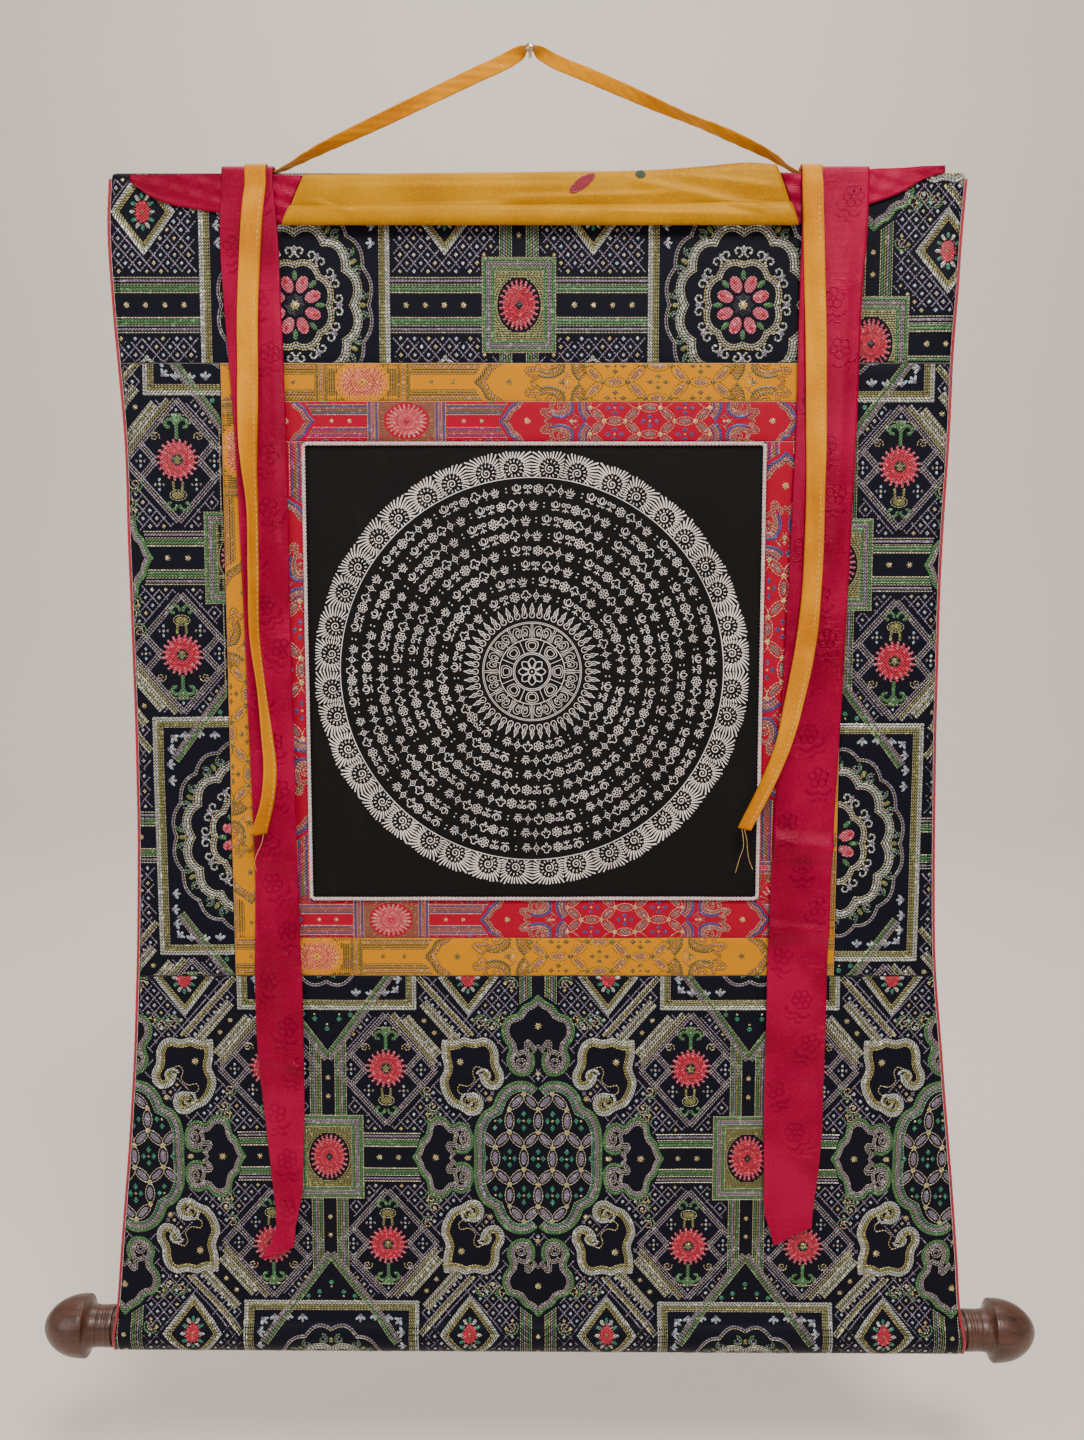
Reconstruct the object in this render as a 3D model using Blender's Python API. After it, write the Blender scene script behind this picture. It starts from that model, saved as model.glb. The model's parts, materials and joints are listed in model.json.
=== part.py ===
"""A thangka: a painting in a brocade mount, hung on a wall nail, with a turned rod in its foot.

Metres, +Z up. The origin is where the nail enters the wall. The wall is the plane y = 0, and the
thangka hangs in front of it, towards -Y.
"""

import math

import bmesh
import bpy
from mathutils import Vector

# ---------------------------------------------------------------- gaps and thicknesses
GAP = 0.0003                 # between pieces that touch or are sewn together
CLEAR = 0.0020               # in front of a panel, where a loose strip hangs past it
PANEL = 0.0016               # brocade with its backing
SILK = 0.0010                # a sash, streamer, veil or strap

# ---------------------------------------------------------------- levels, down from the nail
TOP_FOLD = -0.0945           # the fold of the heading over the batten
STRAIGHT = -0.125            # above this the cloth lies flat on the batten
HEADING_SEAM = -0.248
YELLOW_SEAM = -0.2795
PAINTING_TOP = -0.3125
PAINTING_FOOT = -0.7055
RED_SEAM = -0.7395
FRAME_FOOT = -0.7735
ROLL_CREASE = -1.080         # where the flat cloth meets the roll

# ---------------------------------------------------------------- upright seams
FRAME_LEFT, FRAME_RIGHT = -0.2590, 0.2655
RED_LEFT, RED_RIGHT = -0.2255, 0.2320
PAINTING_LEFT, PAINTING_RIGHT = -0.1925, 0.1985
HEADING_END = 0.2480         # the heading is pieced here, under the right sash

# ---------------------------------------------------------------- how far the cloth stands off the wall
TOP_FRONT = -0.0150          # front of the heading on the batten
CREASE_FRONT = -0.0400       # front of the cloth where it meets the roll

# The cloth's outer edges: level, left edge, right edge.
OUTLINE = [
    dict(z=-0.0945, left=-0.3435, right=0.3575),
    dict(z=-0.130, left=-0.3465, right=0.3555),
    dict(z=-0.197, left=-0.3450, right=0.3515),
    dict(z=-0.312, left=-0.3385, right=0.3490),
    dict(z=-0.405, left=-0.3380, right=0.3455),
    dict(z=-0.506, left=-0.3370, right=0.3455),
    dict(z=-0.649, left=-0.3380, right=0.3480),
    dict(z=-0.772, left=-0.3435, right=0.3530),
    dict(z=-0.849, left=-0.3485, right=0.3610),
    dict(z=-0.909, left=-0.3535, right=0.3675),
    dict(z=-0.979, left=-0.3605, right=0.3750),
    dict(z=-1.035, left=-0.3665, right=0.3805),
    dict(z=-1.080, left=-0.3710, right=0.3845),
    dict(z=-1.107, left=-0.3745, right=0.3885),
    dict(z=-1.140, left=-0.3765, right=0.3905),
]

# Soft swells of the hanging cloth: centre, spread and height towards the room.
SWELLS = [
    dict(x=-0.315, z=-0.560, wide=0.040, tall=0.190, height=0.0030),
    dict(x=0.330, z=-0.420, wide=0.045, tall=0.150, height=0.0028),
    dict(x=0.345, z=-0.190, wide=0.025, tall=0.045, height=0.0040),
    dict(x=-0.060, z=-0.510, wide=0.110, tall=0.140, height=0.0022),
    dict(x=0.110, z=-0.600, wide=0.070, tall=0.090, height=-0.0015),
    dict(x=-0.235, z=-0.870, wide=0.070, tall=0.100, height=-0.0022),
    dict(x=0.050, z=-0.930, wide=0.120, tall=0.080, height=0.0028),
    dict(x=0.300, z=-0.900, wide=0.050, tall=0.110, height=0.0024),
]

# ---------------------------------------------------------------- batten, roll and rod
SLEEVE_Y = -0.0091           # middle of the batten, front to back
SLEEVE = 0.0051              # middle of the cloth round the batten
BATTEN = 0.0040              # half the batten's thickness
BATTEN_FOOT = -0.1240
BATTEN_LEFT, BATTEN_RIGHT = -0.3400, 0.3500
HEM_FOOT = -0.1300
ROD_Y, ROD_Z = -0.0290, -1.1070
ROD_LEAN = -0.0055           # the rod hangs a little lower to the right
ROLL = 0.0192                # middle of the outer turn of cloth
ROLL_INNER = 0.0171          # middle of the inner turn
DOWEL = 0.0159
NECK = 0.0182
ROD_LEFT, ROD_RIGHT = -0.3795, 0.3935
FINIAL_LEFT, FINIAL_RIGHT = 0.0635, 0.0650

# A finial's outline: share of its length from the cloth outwards, and radius.
FINIAL = [
    dict(along=0.000, radius=0.0180),
    dict(along=0.020, radius=0.0183),
    dict(along=0.200, radius=0.0181),
    dict(along=0.275, radius=0.0187),
    dict(along=0.325, radius=0.0200),
    dict(along=0.355, radius=0.0224),
    dict(along=0.375, radius=0.0252),
    dict(along=0.400, radius=0.0270),
    dict(along=0.450, radius=0.0275),
    dict(along=0.560, radius=0.0268),
    dict(along=0.680, radius=0.0246),
    dict(along=0.790, radius=0.0209),
    dict(along=0.880, radius=0.0161),
    dict(along=0.945, radius=0.0106),
    dict(along=0.985, radius=0.0052),
]

# ---------------------------------------------------------------- nail and strap
SHANK = 0.0015
NAIL_HEAD = 0.0037
NAIL_REACH = 0.0235

# The strap's middle line, its width there, and its turn from face-on (0) to flat (90).
STRAP = [
    dict(x=-0.2320, y=-0.0091, z=-0.0937, width=0.0080, turn=90),
    dict(x=-0.2120, y=-0.0091, z=-0.0936, width=0.0080, turn=90),
    dict(x=-0.2040, y=-0.0092, z=-0.0904, width=0.0085, turn=84),
    dict(x=-0.1850, y=-0.0096, z=-0.0812, width=0.0100, turn=66),
    dict(x=-0.1450, y=-0.0102, z=-0.0632, width=0.0110, turn=40),
    dict(x=-0.0950, y=-0.0108, z=-0.0408, width=0.0115, turn=16),
    dict(x=-0.0450, y=-0.0114, z=-0.0184, width=0.0120, turn=6),
    dict(x=-0.0160, y=-0.0118, z=-0.0054, width=0.0120, turn=16),
    dict(x=-0.0080, y=-0.0120, z=-0.0006, width=0.0115, turn=46),
    dict(x=-0.0032, y=-0.0120, z=0.0027, width=0.0110, turn=84),
    dict(x=0.0000, y=-0.0120, z=0.0031, width=0.0110, turn=87),
    dict(x=0.0032, y=-0.0120, z=0.0027, width=0.0110, turn=84),
    dict(x=0.0080, y=-0.0120, z=-0.0006, width=0.0110, turn=46),
    dict(x=0.0160, y=-0.0118, z=-0.0054, width=0.0110, turn=20),
    dict(x=0.0480, y=-0.0114, z=-0.0184, width=0.0110, turn=14),
    dict(x=0.0900, y=-0.0110, z=-0.0354, width=0.0110, turn=38),
    dict(x=0.1300, y=-0.0104, z=-0.0515, width=0.0110, turn=66),
    dict(x=0.1700, y=-0.0100, z=-0.0676, width=0.0105, turn=52),
    dict(x=0.2030, y=-0.0096, z=-0.0830, width=0.0090, turn=70),
    dict(x=0.2150, y=-0.0092, z=-0.0905, width=0.0080, turn=86),
    dict(x=0.2215, y=-0.0091, z=-0.0936, width=0.0080, turn=90),
    dict(x=0.2420, y=-0.0091, z=-0.0938, width=0.0080, turn=90),
]

# ---------------------------------------------------------------- rolled-up silk veil
VEIL_LEFT, VEIL_RIGHT = -0.1845, 0.2010      # its ends at the top
VEIL_SLANT = 0.0190                          # how far its ends spread towards the foot
VEIL_STATIONS = 12
VEIL_TOP = [
    dict(x=-0.1850, z=-0.1018),
    dict(x=-0.0780, z=-0.1003),
    dict(x=0.0310, z=-0.0984),
    dict(x=0.1000, z=-0.0967),
    dict(x=0.1460, z=-0.0917),
    dict(x=0.1790, z=-0.0886),
    dict(x=0.2020, z=-0.0901),
]
VEIL_FOOT = -0.1385
VEIL_APART = 0.0012                          # between the bundle's ends and the crimson sides

# The section of the folded veil: distance in front of the heading, share of its height.
VEIL_SECTION = [
    dict(out=0.0009, down=0.930),
    dict(out=0.0009, down=0.080),
    dict(out=0.0013, down=0.052),
    dict(out=0.0022, down=0.052),
    dict(out=0.0026, down=0.080),
    dict(out=0.0026, down=0.900),
    dict(out=0.0030, down=0.928),
    dict(out=0.0039, down=0.928),
    dict(out=0.0043, down=0.900),
    dict(out=0.0043, down=0.075),
    dict(out=0.0047, down=0.030),
    dict(out=0.0062, down=0.012),
    dict(out=0.0078, down=0.060),
    dict(out=0.0087, down=0.200),
    dict(out=0.0084, down=0.400),
    dict(out=0.0074, down=0.560),
    dict(out=0.0064, down=0.750),
    dict(out=0.0064, down=0.920),
    dict(out=0.0072, down=0.975),
    dict(out=0.0094, down=0.988),
    dict(out=0.0112, down=0.930),
    dict(out=0.0120, down=0.790),
    dict(out=0.0115, down=0.660),
    dict(out=0.0100, down=0.600),
    dict(out=0.0086, down=0.640),
]

# The crimson veil's edge beyond each end of the bundle: top and foot of each station.
CRIMSON_LEFT = [
    dict(x=-0.3280, top=-0.0975, foot=-0.1030),
    dict(x=-0.3120, top=-0.0970, foot=-0.1150),
    dict(x=-0.2950, top=-0.0970, foot=-0.1215),
    dict(x=-0.2740, top=-0.0985, foot=-0.1255),
    dict(x=-0.2520, top=-0.0990, foot=-0.1290),
    dict(x=-0.2240, top=-0.0995, foot=-0.1350),
    dict(x=-0.1850, top=-0.1010, foot=-0.1385),
]
CRIMSON_RIGHT = [
    dict(x=0.2015, top=-0.0950, foot=-0.1385),
    dict(x=0.2230, top=-0.0955, foot=-0.1370),
    dict(x=0.2500, top=-0.0950, foot=-0.1300),
    dict(x=0.2790, top=-0.0925, foot=-0.1215),
    dict(x=0.3050, top=-0.0915, foot=-0.1115),
    dict(x=0.3260, top=-0.0905, foot=-0.0995),
    dict(x=0.3400, top=-0.0900, foot=-0.0955),
]

# The crimson veil's section: distance in front of the heading, share of its height.
CRIMSON_SECTION = [
    dict(out=0.0008, down=0.080),
    dict(out=0.0008, down=0.450),
    dict(out=0.0008, down=0.820),
    dict(out=0.0012, down=0.960),
    dict(out=0.0020, down=0.960),
    dict(out=0.0024, down=0.820),
    dict(out=0.0027, down=0.450),
    dict(out=0.0024, down=0.020),
]

# ---------------------------------------------------------------- sashes and streamers
SASH_BACK, SASH_TOP, SASH_FRONT = -0.0024, -0.0905, -0.0204
SASH_TAIL = -0.1500          # how far the sashes' back ends reach down
STREAMER_BACK, STREAMER_TOP, STREAMER_FRONT = -0.0011, -0.0888, -0.0222
STREAMER_TAIL = -0.1250
STREAMER = 0.0170            # a streamer's full width
LOOP_RISE = 0.0090           # height of the turn over the top
LOOP_STEPS = 8

# Each sash: level, edges, and how far it stands out beyond its clearance.
SASH_ROWS_LEFT = [
    dict(z=-0.105, left=-0.2525, right=-0.2105, out=0.0000),
    dict(z=-0.138, left=-0.2550, right=-0.2080, out=0.0004),
    dict(z=-0.210, left=-0.2530, right=-0.2060, out=0.0010),
    dict(z=-0.295, left=-0.2480, right=-0.2045, out=0.0006),
    dict(z=-0.390, left=-0.2450, right=-0.2040, out=0.0012),
    dict(z=-0.478, left=-0.2430, right=-0.2040, out=0.0004),
    dict(z=-0.570, left=-0.2410, right=-0.2030, out=0.0014),
    dict(z=-0.655, left=-0.2390, right=-0.2020, out=0.0024),
    dict(z=-0.680, left=-0.2390, right=-0.2020, out=0.0006),
    dict(z=-0.735, left=-0.2400, right=-0.2010, out=0.0016),
    dict(z=-0.793, left=-0.2415, right=-0.2000, out=0.0010),
    dict(z=-0.840, left=-0.2405, right=-0.2000, out=0.0018),
    dict(z=-0.893, left=-0.2365, right=-0.2005, out=0.0008),
    dict(z=-0.940, left=-0.2320, right=-0.2020, out=0.0012),
    dict(z=-0.976, left=-0.2285, right=-0.2045, out=0.0016),
    dict(z=-1.002, left=-0.2272, right=-0.2100, out=0.0020),
    dict(z=-1.012, left=-0.2310, right=-0.2105, out=0.0026),
    dict(z=-1.021, left=-0.2350, right=-0.2124, out=0.0032),
    dict(z=-1.027, left=-0.2385, right=-0.2260, out=0.0034),
    dict(z=-1.031, left=-0.2410, right=-0.2365, out=0.0034),
]
SASH_ROWS_RIGHT = [
    dict(z=-0.105, left=0.2230, right=0.2778, out=0.0000),
    dict(z=-0.138, left=0.2232, right=0.2773, out=0.0006),
    dict(z=-0.191, left=0.2226, right=0.2746, out=0.0012),
    dict(z=-0.294, left=0.2222, right=0.2731, out=0.0004),
    dict(z=-0.385, left=0.2196, right=0.2705, out=0.0014),
    dict(z=-0.478, left=0.2167, right=0.2676, out=0.0008),
    dict(z=-0.570, left=0.2130, right=0.2644, out=0.0016),
    dict(z=-0.643, left=0.2098, right=0.2617, out=0.0008),
    dict(z=-0.660, left=0.2092, right=0.2611, out=0.0030),
    dict(z=-0.676, left=0.2088, right=0.2608, out=0.0008),
    dict(z=-0.730, left=0.2072, right=0.2595, out=0.0024),
    dict(z=-0.748, left=0.2068, right=0.2591, out=0.0006),
    dict(z=-0.800, left=0.2062, right=0.2586, out=0.0018),
    dict(z=-0.860, left=0.2060, right=0.2580, out=0.0010),
    dict(z=-0.920, left=0.2059, right=0.2572, out=0.0016),
    dict(z=-0.965, left=0.2070, right=0.2535, out=0.0012),
    dict(z=-0.990, left=0.2077, right=0.2507, out=0.0018),
    dict(z=-1.002, left=0.2118, right=0.2501, out=0.0030),
    dict(z=-1.010, left=0.2142, right=0.2330, out=0.0034),
    dict(z=-1.018, left=0.2160, right=0.2190, out=0.0034),
]

# Each streamer: level, edges as seen from the front, and how far it stands out. Where it is
# seen narrower than it is, it is turned edge-on.
STREAMER_ROWS_LEFT = [
    dict(z=-0.105, left=-0.2332, right=-0.2160, out=0.0000),
    dict(z=-0.128, left=-0.2355, right=-0.2192, out=0.0006),
    dict(z=-0.165, left=-0.2390, right=-0.2224, out=0.0010),
    dict(z=-0.198, left=-0.2413, right=-0.2247, out=0.0010),
    dict(z=-0.271, left=-0.2431, right=-0.2265, out=0.0012),
    dict(z=-0.310, left=-0.2420, right=-0.2280, out=0.0014),
    dict(z=-0.334, left=-0.2396, right=-0.2288, out=0.0016),
    dict(z=-0.360, left=-0.2361, right=-0.2286, out=0.0020),
    dict(z=-0.420, left=-0.2358, right=-0.2292, out=0.0024),
    dict(z=-0.478, left=-0.2355, right=-0.2296, out=0.0026),
    dict(z=-0.521, left=-0.2299, right=-0.2252, out=0.0028),
    dict(z=-0.555, left=-0.2274, right=-0.2208, out=0.0028),
    dict(z=-0.589, left=-0.2261, right=-0.2176, out=0.0030),
    dict(z=-0.615, left=-0.2293, right=-0.2198, out=0.0034),
    dict(z=-0.644, left=-0.2385, right=-0.2265, out=0.0040),
]
STREAMER_ROWS_RIGHT = [
    dict(z=-0.105, left=0.2225, right=0.2388, out=0.0000),
    dict(z=-0.150, left=0.2245, right=0.2410, out=0.0008),
    dict(z=-0.220, left=0.2275, right=0.2440, out=0.0012),
    dict(z=-0.296, left=0.2299, right=0.2465, out=0.0014),
    dict(z=-0.361, left=0.2313, right=0.2446, out=0.0016),
    dict(z=-0.403, left=0.2305, right=0.2447, out=0.0018),
    dict(z=-0.445, left=0.2288, right=0.2432, out=0.0022),
    dict(z=-0.478, left=0.2253, right=0.2422, out=0.0028),
    dict(z=-0.529, left=0.2162, right=0.2306, out=0.0044),
    dict(z=-0.572, left=0.2068, right=0.2178, out=0.0068),
    dict(z=-0.606, left=0.1928, right=0.2031, out=0.0096),
    dict(z=-0.638, left=0.1771, right=0.1865, out=0.0120),
]

# ---------------------------------------------------------------- cord and binding
CORD = 0.0017                # radius of the twisted cord round the painting
CORD_SIDES, CORD_STEPS = 6, 6
BINDING = 0.0012             # radius of the red binding
BINDING_SIDES = 6
BINDING_TOP = -0.1000        # the binding starts just under the fold

GRID = 0.062                 # about the size of a panel's facets
HEADING_GRID = 0.041         # and of the heading's, down its front


# ================================================================ helpers
def clear_scene():
    for item in list(bpy.data.objects):
        bpy.data.objects.remove(item, do_unlink=True)


def finish(name, colour, roughness, metallic=0.0):
    """A plain Principled finish."""
    material = bpy.data.materials.new(name)
    material.use_nodes = True
    shader = material.node_tree.nodes["Principled BSDF"]
    shader.inputs["Base Color"].default_value = (*colour, 1.0)
    shader.inputs["Roughness"].default_value = roughness
    shader.inputs["Metallic"].default_value = metallic
    return material


def add_object(name, bm, material):
    mesh = bpy.data.meshes.new(name)
    bm.to_mesh(mesh)
    bm.free()
    mesh.materials.append(material)
    made = bpy.data.objects.new(name, mesh)
    bpy.context.scene.collection.objects.link(made)
    return made


def between(a, b, share):
    return a + (b - a) * share


def read_table(table, key, column, at):
    """A column of a table, read between its rows."""
    rows = sorted(table, key=lambda row: row[key])
    if at <= rows[0][key]:
        return rows[0][column]
    for low, high in zip(rows, rows[1:]):
        if at <= high[key]:
            share = (at - low[key]) / (high[key] - low[key])
            return between(low[column], high[column], share)
    return rows[-1][column]


def ease(share):
    share = min(max(share, 0.0), 1.0)
    return share * share * (3.0 - 2.0 * share)


def steps_between(a, b, size):
    """Values from a to b in even steps of about this size."""
    count = max(1, round(abs(b - a) / size))
    return [between(a, b, k / count) for k in range(count + 1)]


def thick_sheet(name, rows, thickness, material):
    """A closed sheet of even thickness about a grid of middle points, rows down and columns right."""
    last_row = len(rows) - 1
    last_column = len(rows[0]) - 1
    bm = bmesh.new()
    front = []
    back = []
    for i, row in enumerate(rows):
        front.append([])
        back.append([])
        for j, point in enumerate(row):
            across = rows[i][min(j + 1, last_column)] - rows[i][max(j - 1, 0)]
            down = rows[min(i + 1, last_row)][j] - rows[max(i - 1, 0)][j]
            normal = down.cross(across).normalized()
            front[i].append(bm.verts.new(point + normal * (thickness / 2)))
            back[i].append(bm.verts.new(point - normal * (thickness / 2)))
    for i in range(last_row):
        for j in range(last_column):
            bm.faces.new((front[i][j], front[i + 1][j], front[i + 1][j + 1], front[i][j + 1]))
            bm.faces.new((back[i][j], back[i][j + 1], back[i + 1][j + 1], back[i + 1][j]))
    for i in range(last_row):
        bm.faces.new((front[i][0], back[i][0], back[i + 1][0], front[i + 1][0]))
        bm.faces.new((front[i][-1], front[i + 1][-1], back[i + 1][-1], back[i][-1]))
    for j in range(last_column):
        bm.faces.new((front[0][j], front[0][j + 1], back[0][j + 1], back[0][j]))
        bm.faces.new((front[-1][j], back[-1][j], back[-1][j + 1], front[-1][j + 1]))
    bmesh.ops.triangulate(bm, faces=bm.faces)
    return add_object(name, bm, material)


def tube(name, points, radius, sides, material, closed=False):
    """A round tube through these points, closed into a ring or capped at its ends."""
    count = len(points)
    bm = bmesh.new()
    rings = []
    for k, point in enumerate(points):
        before = points[k - 1] if closed or k else point
        after = points[(k + 1) % count] if closed or k < count - 1 else point
        along = (after - before).normalized()
        across = along.cross(Vector((0.0, 1.0, 0.02))).normalized()
        up = across.cross(along).normalized()
        ring = []
        for side in range(sides):
            angle = 2 * math.pi * side / sides
            offset = across * math.cos(angle) + up * math.sin(angle)
            ring.append(bm.verts.new(point + offset * radius))
        rings.append(ring)
    for k in range(count if closed else count - 1):
        here = rings[k]
        there = rings[(k + 1) % count]
        for side in range(sides):
            after = (side + 1) % sides
            bm.faces.new((here[side], here[after], there[after], there[side]))
    if not closed:
        bm.faces.new(rings[0][::-1])
        bm.faces.new(rings[-1])
    bmesh.ops.recalc_face_normals(bm, faces=bm.faces)
    bmesh.ops.triangulate(bm, faces=bm.faces)
    return add_object(name, bm, material)


def turned(name, profile, sides, place, material):
    """A solid of revolution. The profile is (distance along, radius), and place puts a point on it."""
    bm = bmesh.new()
    rings = []
    for along, radius in profile:
        ring = []
        for side in range(sides):
            angle = 2 * math.pi * side / sides
            ring.append(bm.verts.new(place(along, radius * math.cos(angle), radius * math.sin(angle))))
        rings.append(ring)
    for here, there in zip(rings, rings[1:]):
        for side in range(sides):
            after = (side + 1) % sides
            bm.faces.new((here[side], here[after], there[after], there[side]))
    bm.faces.new(rings[0][::-1])
    bm.faces.new(rings[-1])
    bmesh.ops.recalc_face_normals(bm, faces=bm.faces)
    bmesh.ops.triangulate(bm, faces=bm.faces)
    return add_object(name, bm, material)


# ================================================================ the hanging surface
def left_edge(z):
    return read_table(OUTLINE, "z", "left", z)


def right_edge(z):
    return read_table(OUTLINE, "z", "right", z)


def cloth_front(x, z):
    """How far forward the front of the flat cloth stands at this place."""
    share = max(0.0, (STRAIGHT - z) / (STRAIGHT - ROLL_CREASE))
    swell = 0.0
    for bump in SWELLS:
        square = ((x - bump["x"]) / bump["wide"]) ** 2 + ((z - bump["z"]) / bump["tall"]) ** 2
        swell += bump["height"] * math.exp(-square)
    loose = ease((STRAIGHT - z) / 0.06) * ease((z - ROLL_CREASE) / 0.05)
    return between(TOP_FRONT, CREASE_FRONT, share) - swell * loose


def lean(x, z):
    """The rod's slight tilt, fading out up the lower panel."""
    return ROD_LEAN * x * ease((FRAME_FOOT - z) / (FRAME_FOOT - ROLL_CREASE))


def cloth_point(x, z):
    """A point in the middle of the flat cloth."""
    return Vector((x, cloth_front(x, z) + PANEL / 2, z + lean(x, z)))


def panel(name, top, foot, left, right, material):
    """A flat piece of the mount. Its sides are numbers, or functions of the level."""
    half = GAP / 2
    levels = steps_between(top - half, foot + half, GRID)
    at_left = left if callable(left) else (lambda z: left + half)
    at_right = right if callable(right) else (lambda z: right - half)
    middle = (top + foot) / 2
    shares = steps_between(0.0, 1.0, GRID / (at_right(middle) - at_left(middle)))
    rows = []
    for z in levels:
        rows.append([cloth_point(between(at_left(z), at_right(z), share), z) for share in shares])
    return thick_sheet(name, rows, PANEL, material)


# ================================================================ pieces
def build_nail(metal):
    profile = [
        (0.0, SHANK),
        (NAIL_REACH - 0.0030, SHANK),
        (NAIL_REACH - 0.0024, NAIL_HEAD),
        (NAIL_REACH - 0.0012, NAIL_HEAD),
        (NAIL_REACH, NAIL_HEAD * 0.6),
    ]
    return turned("wall_nail", profile, 16, lambda along, a, b: Vector((a, -along, b)), metal)


def build_strap(material):
    rows = []
    for k, here in enumerate(STRAP):
        before = STRAP[max(k - 1, 0)]
        after = STRAP[min(k + 1, len(STRAP) - 1)]
        along = Vector((after["x"] - before["x"], 0.0, after["z"] - before["z"])).normalized()
        up = Vector((-along.z, 0.0, along.x))
        turn = math.radians(here["turn"])
        reach = (up * math.cos(turn) + Vector((0.0, -1.0, 0.0)) * math.sin(turn)) * (here["width"] / 2)
        middle = Vector((here["x"], here["y"], here["z"]))
        rows.append([middle - reach, middle, middle + reach])
    return thick_sheet("hanging_strap", rows, SILK, material)


def build_batten(wood):
    """A flat strip with round edges, inside the heading's sleeve."""
    centre = TOP_FOLD - PANEL / 2 - SLEEVE
    foot = BATTEN_FOOT + BATTEN
    outline = []
    for step in range(9):
        angle = math.pi * step / 8
        outline.append((BATTEN * math.cos(angle), centre + BATTEN * math.sin(angle)))
    for step in range(9):
        angle = math.pi + math.pi * step / 8
        outline.append((BATTEN * math.cos(angle), foot + BATTEN * math.sin(angle)))
    bm = bmesh.new()
    ends = []
    for x in (BATTEN_LEFT, BATTEN_RIGHT):
        ends.append([bm.verts.new((x, SLEEVE_Y + y, z)) for y, z in outline])
    count = len(outline)
    for k in range(count):
        after = (k + 1) % count
        bm.faces.new((ends[0][k], ends[0][after], ends[1][after], ends[1][k]))
    bm.faces.new(ends[0][::-1])
    bm.faces.new(ends[1])
    bmesh.ops.recalc_face_normals(bm, faces=bm.faces)
    bmesh.ops.triangulate(bm, faces=bm.faces)
    return add_object("top_batten", bm, wood)


def build_heading(name, left, right, material):
    """Cloth from the hem behind the batten, over its top and down to the heading seam."""
    centre = TOP_FOLD - PANEL / 2 - SLEEVE
    half = GAP / 2
    at_left = left if callable(left) else (lambda z: left + half)
    at_right = right if callable(right) else (lambda z: right - half)
    shares = steps_between(0.0, 1.0, GRID / (at_right(centre) - at_left(centre)))
    rows = []
    for z in (HEM_FOOT, (HEM_FOOT + centre) / 2):
        rows.append([(share, SLEEVE_Y + SLEEVE, z) for share in shares])
    for step in range(LOOP_STEPS + 1):
        angle = math.pi * step / LOOP_STEPS
        y = SLEEVE_Y + SLEEVE * math.cos(angle)
        rows.append([(share, y, centre + SLEEVE * math.sin(angle)) for share in shares])
    points = []
    for row in rows:
        points.append([
            Vector((between(at_left(z), at_right(z), share), y, z)) for share, y, z in row
        ])
    for z in steps_between(STRAIGHT, HEADING_SEAM + half, HEADING_GRID):
        points.append([cloth_point(between(at_left(z), at_right(z), share), z) for share in shares])
    return thick_sheet(name, points, PANEL, material)


def build_lower_panel(material):
    """Brocade from the frame down to the rod and once round it, its end tucked under."""
    rows = []
    shares = steps_between(0.0, 1.0, 1 / 12)
    for z in steps_between(FRAME_FOOT - GAP / 2, ROLL_CREASE, GRID):
        rows.append([cloth_point(between(left_edge(z), right_edge(z), share), z) for share in shares])
    first_turn, last_turn = 48, 425
    for step in range(25):
        degrees = between(first_turn, last_turn, step / 24)
        angle = math.radians(degrees)
        radius = between(ROLL, ROLL_INNER, ease((degrees - 270) / 100))
        y = ROD_Y - radius * math.sin(angle)
        z = ROD_Z + radius * math.cos(angle)
        level = ROD_Z - 0.030 * ease((degrees - first_turn) / 130) + 0.015
        row = []
        for share in shares:
            x = between(left_edge(level), right_edge(level), share)
            row.append(Vector((x, y, z + ROD_LEAN * x)))
        rows.append(row)
    return thick_sheet("lower_panel", rows, PANEL, material)


def build_painting_cord(material):
    """A closed ring of cord that lies along the painting's edge."""
    corners = [
        (PAINTING_LEFT + CORD, PAINTING_TOP - CORD),
        (PAINTING_RIGHT - CORD, PAINTING_TOP - CORD),
        (PAINTING_RIGHT - CORD, PAINTING_FOOT + CORD),
        (PAINTING_LEFT + CORD, PAINTING_FOOT + CORD),
    ]
    points = []
    for k, (x, z) in enumerate(corners):
        to_x, to_z = corners[(k + 1) % 4]
        for step in range(CORD_STEPS):
            share = step / CORD_STEPS
            here_x, here_z = between(x, to_x, share), between(z, to_z, share)
            y = cloth_front(here_x, here_z) - GAP - CORD - 0.0002
            points.append(Vector((here_x, y, here_z)))
    return tube("painting_cord", points, CORD, CORD_SIDES, material, closed=True)


def build_binding(name, edge, side, material):
    """Narrow binding down one side of the cloth and round the end of the roll."""
    apart = side * (GAP + BINDING)
    levels = [BINDING_TOP]
    levels += steps_between(STRAIGHT, HEADING_SEAM, HEADING_GRID)
    levels += steps_between(HEADING_SEAM, FRAME_FOOT, GRID)[1:]
    levels += steps_between(FRAME_FOOT, ROLL_CREASE, GRID)[1:]
    points = []
    for z in levels:
        x = edge(z)
        middle = cloth_point(x, z)
        points.append(Vector((x + apart, middle.y, middle.z)))
    for degrees in range(48, 241, 16):
        angle = math.radians(degrees)
        level = ROD_Z - 0.030 * ease((degrees - 48) / 130) + 0.015
        x = edge(level) + apart
        y = ROD_Y - ROLL * math.sin(angle)
        points.append(Vector((x, y, ROD_Z + ROLL * math.cos(angle) + ROD_LEAN * x)))
    return tube(name, points, BINDING, BINDING_SIDES, material)


def on_rod(along, a, b):
    return Vector((along, ROD_Y + a, ROD_Z + b + ROD_LEAN * along))


def build_finial(name, start, side, length, wood):
    profile = []
    for row in FINIAL:
        profile.append((start + side * length * row["along"], row["radius"]))
    profile.append((start + side * length, 0.0015))
    return turned(name, profile, 28, on_rod, wood)


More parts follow.
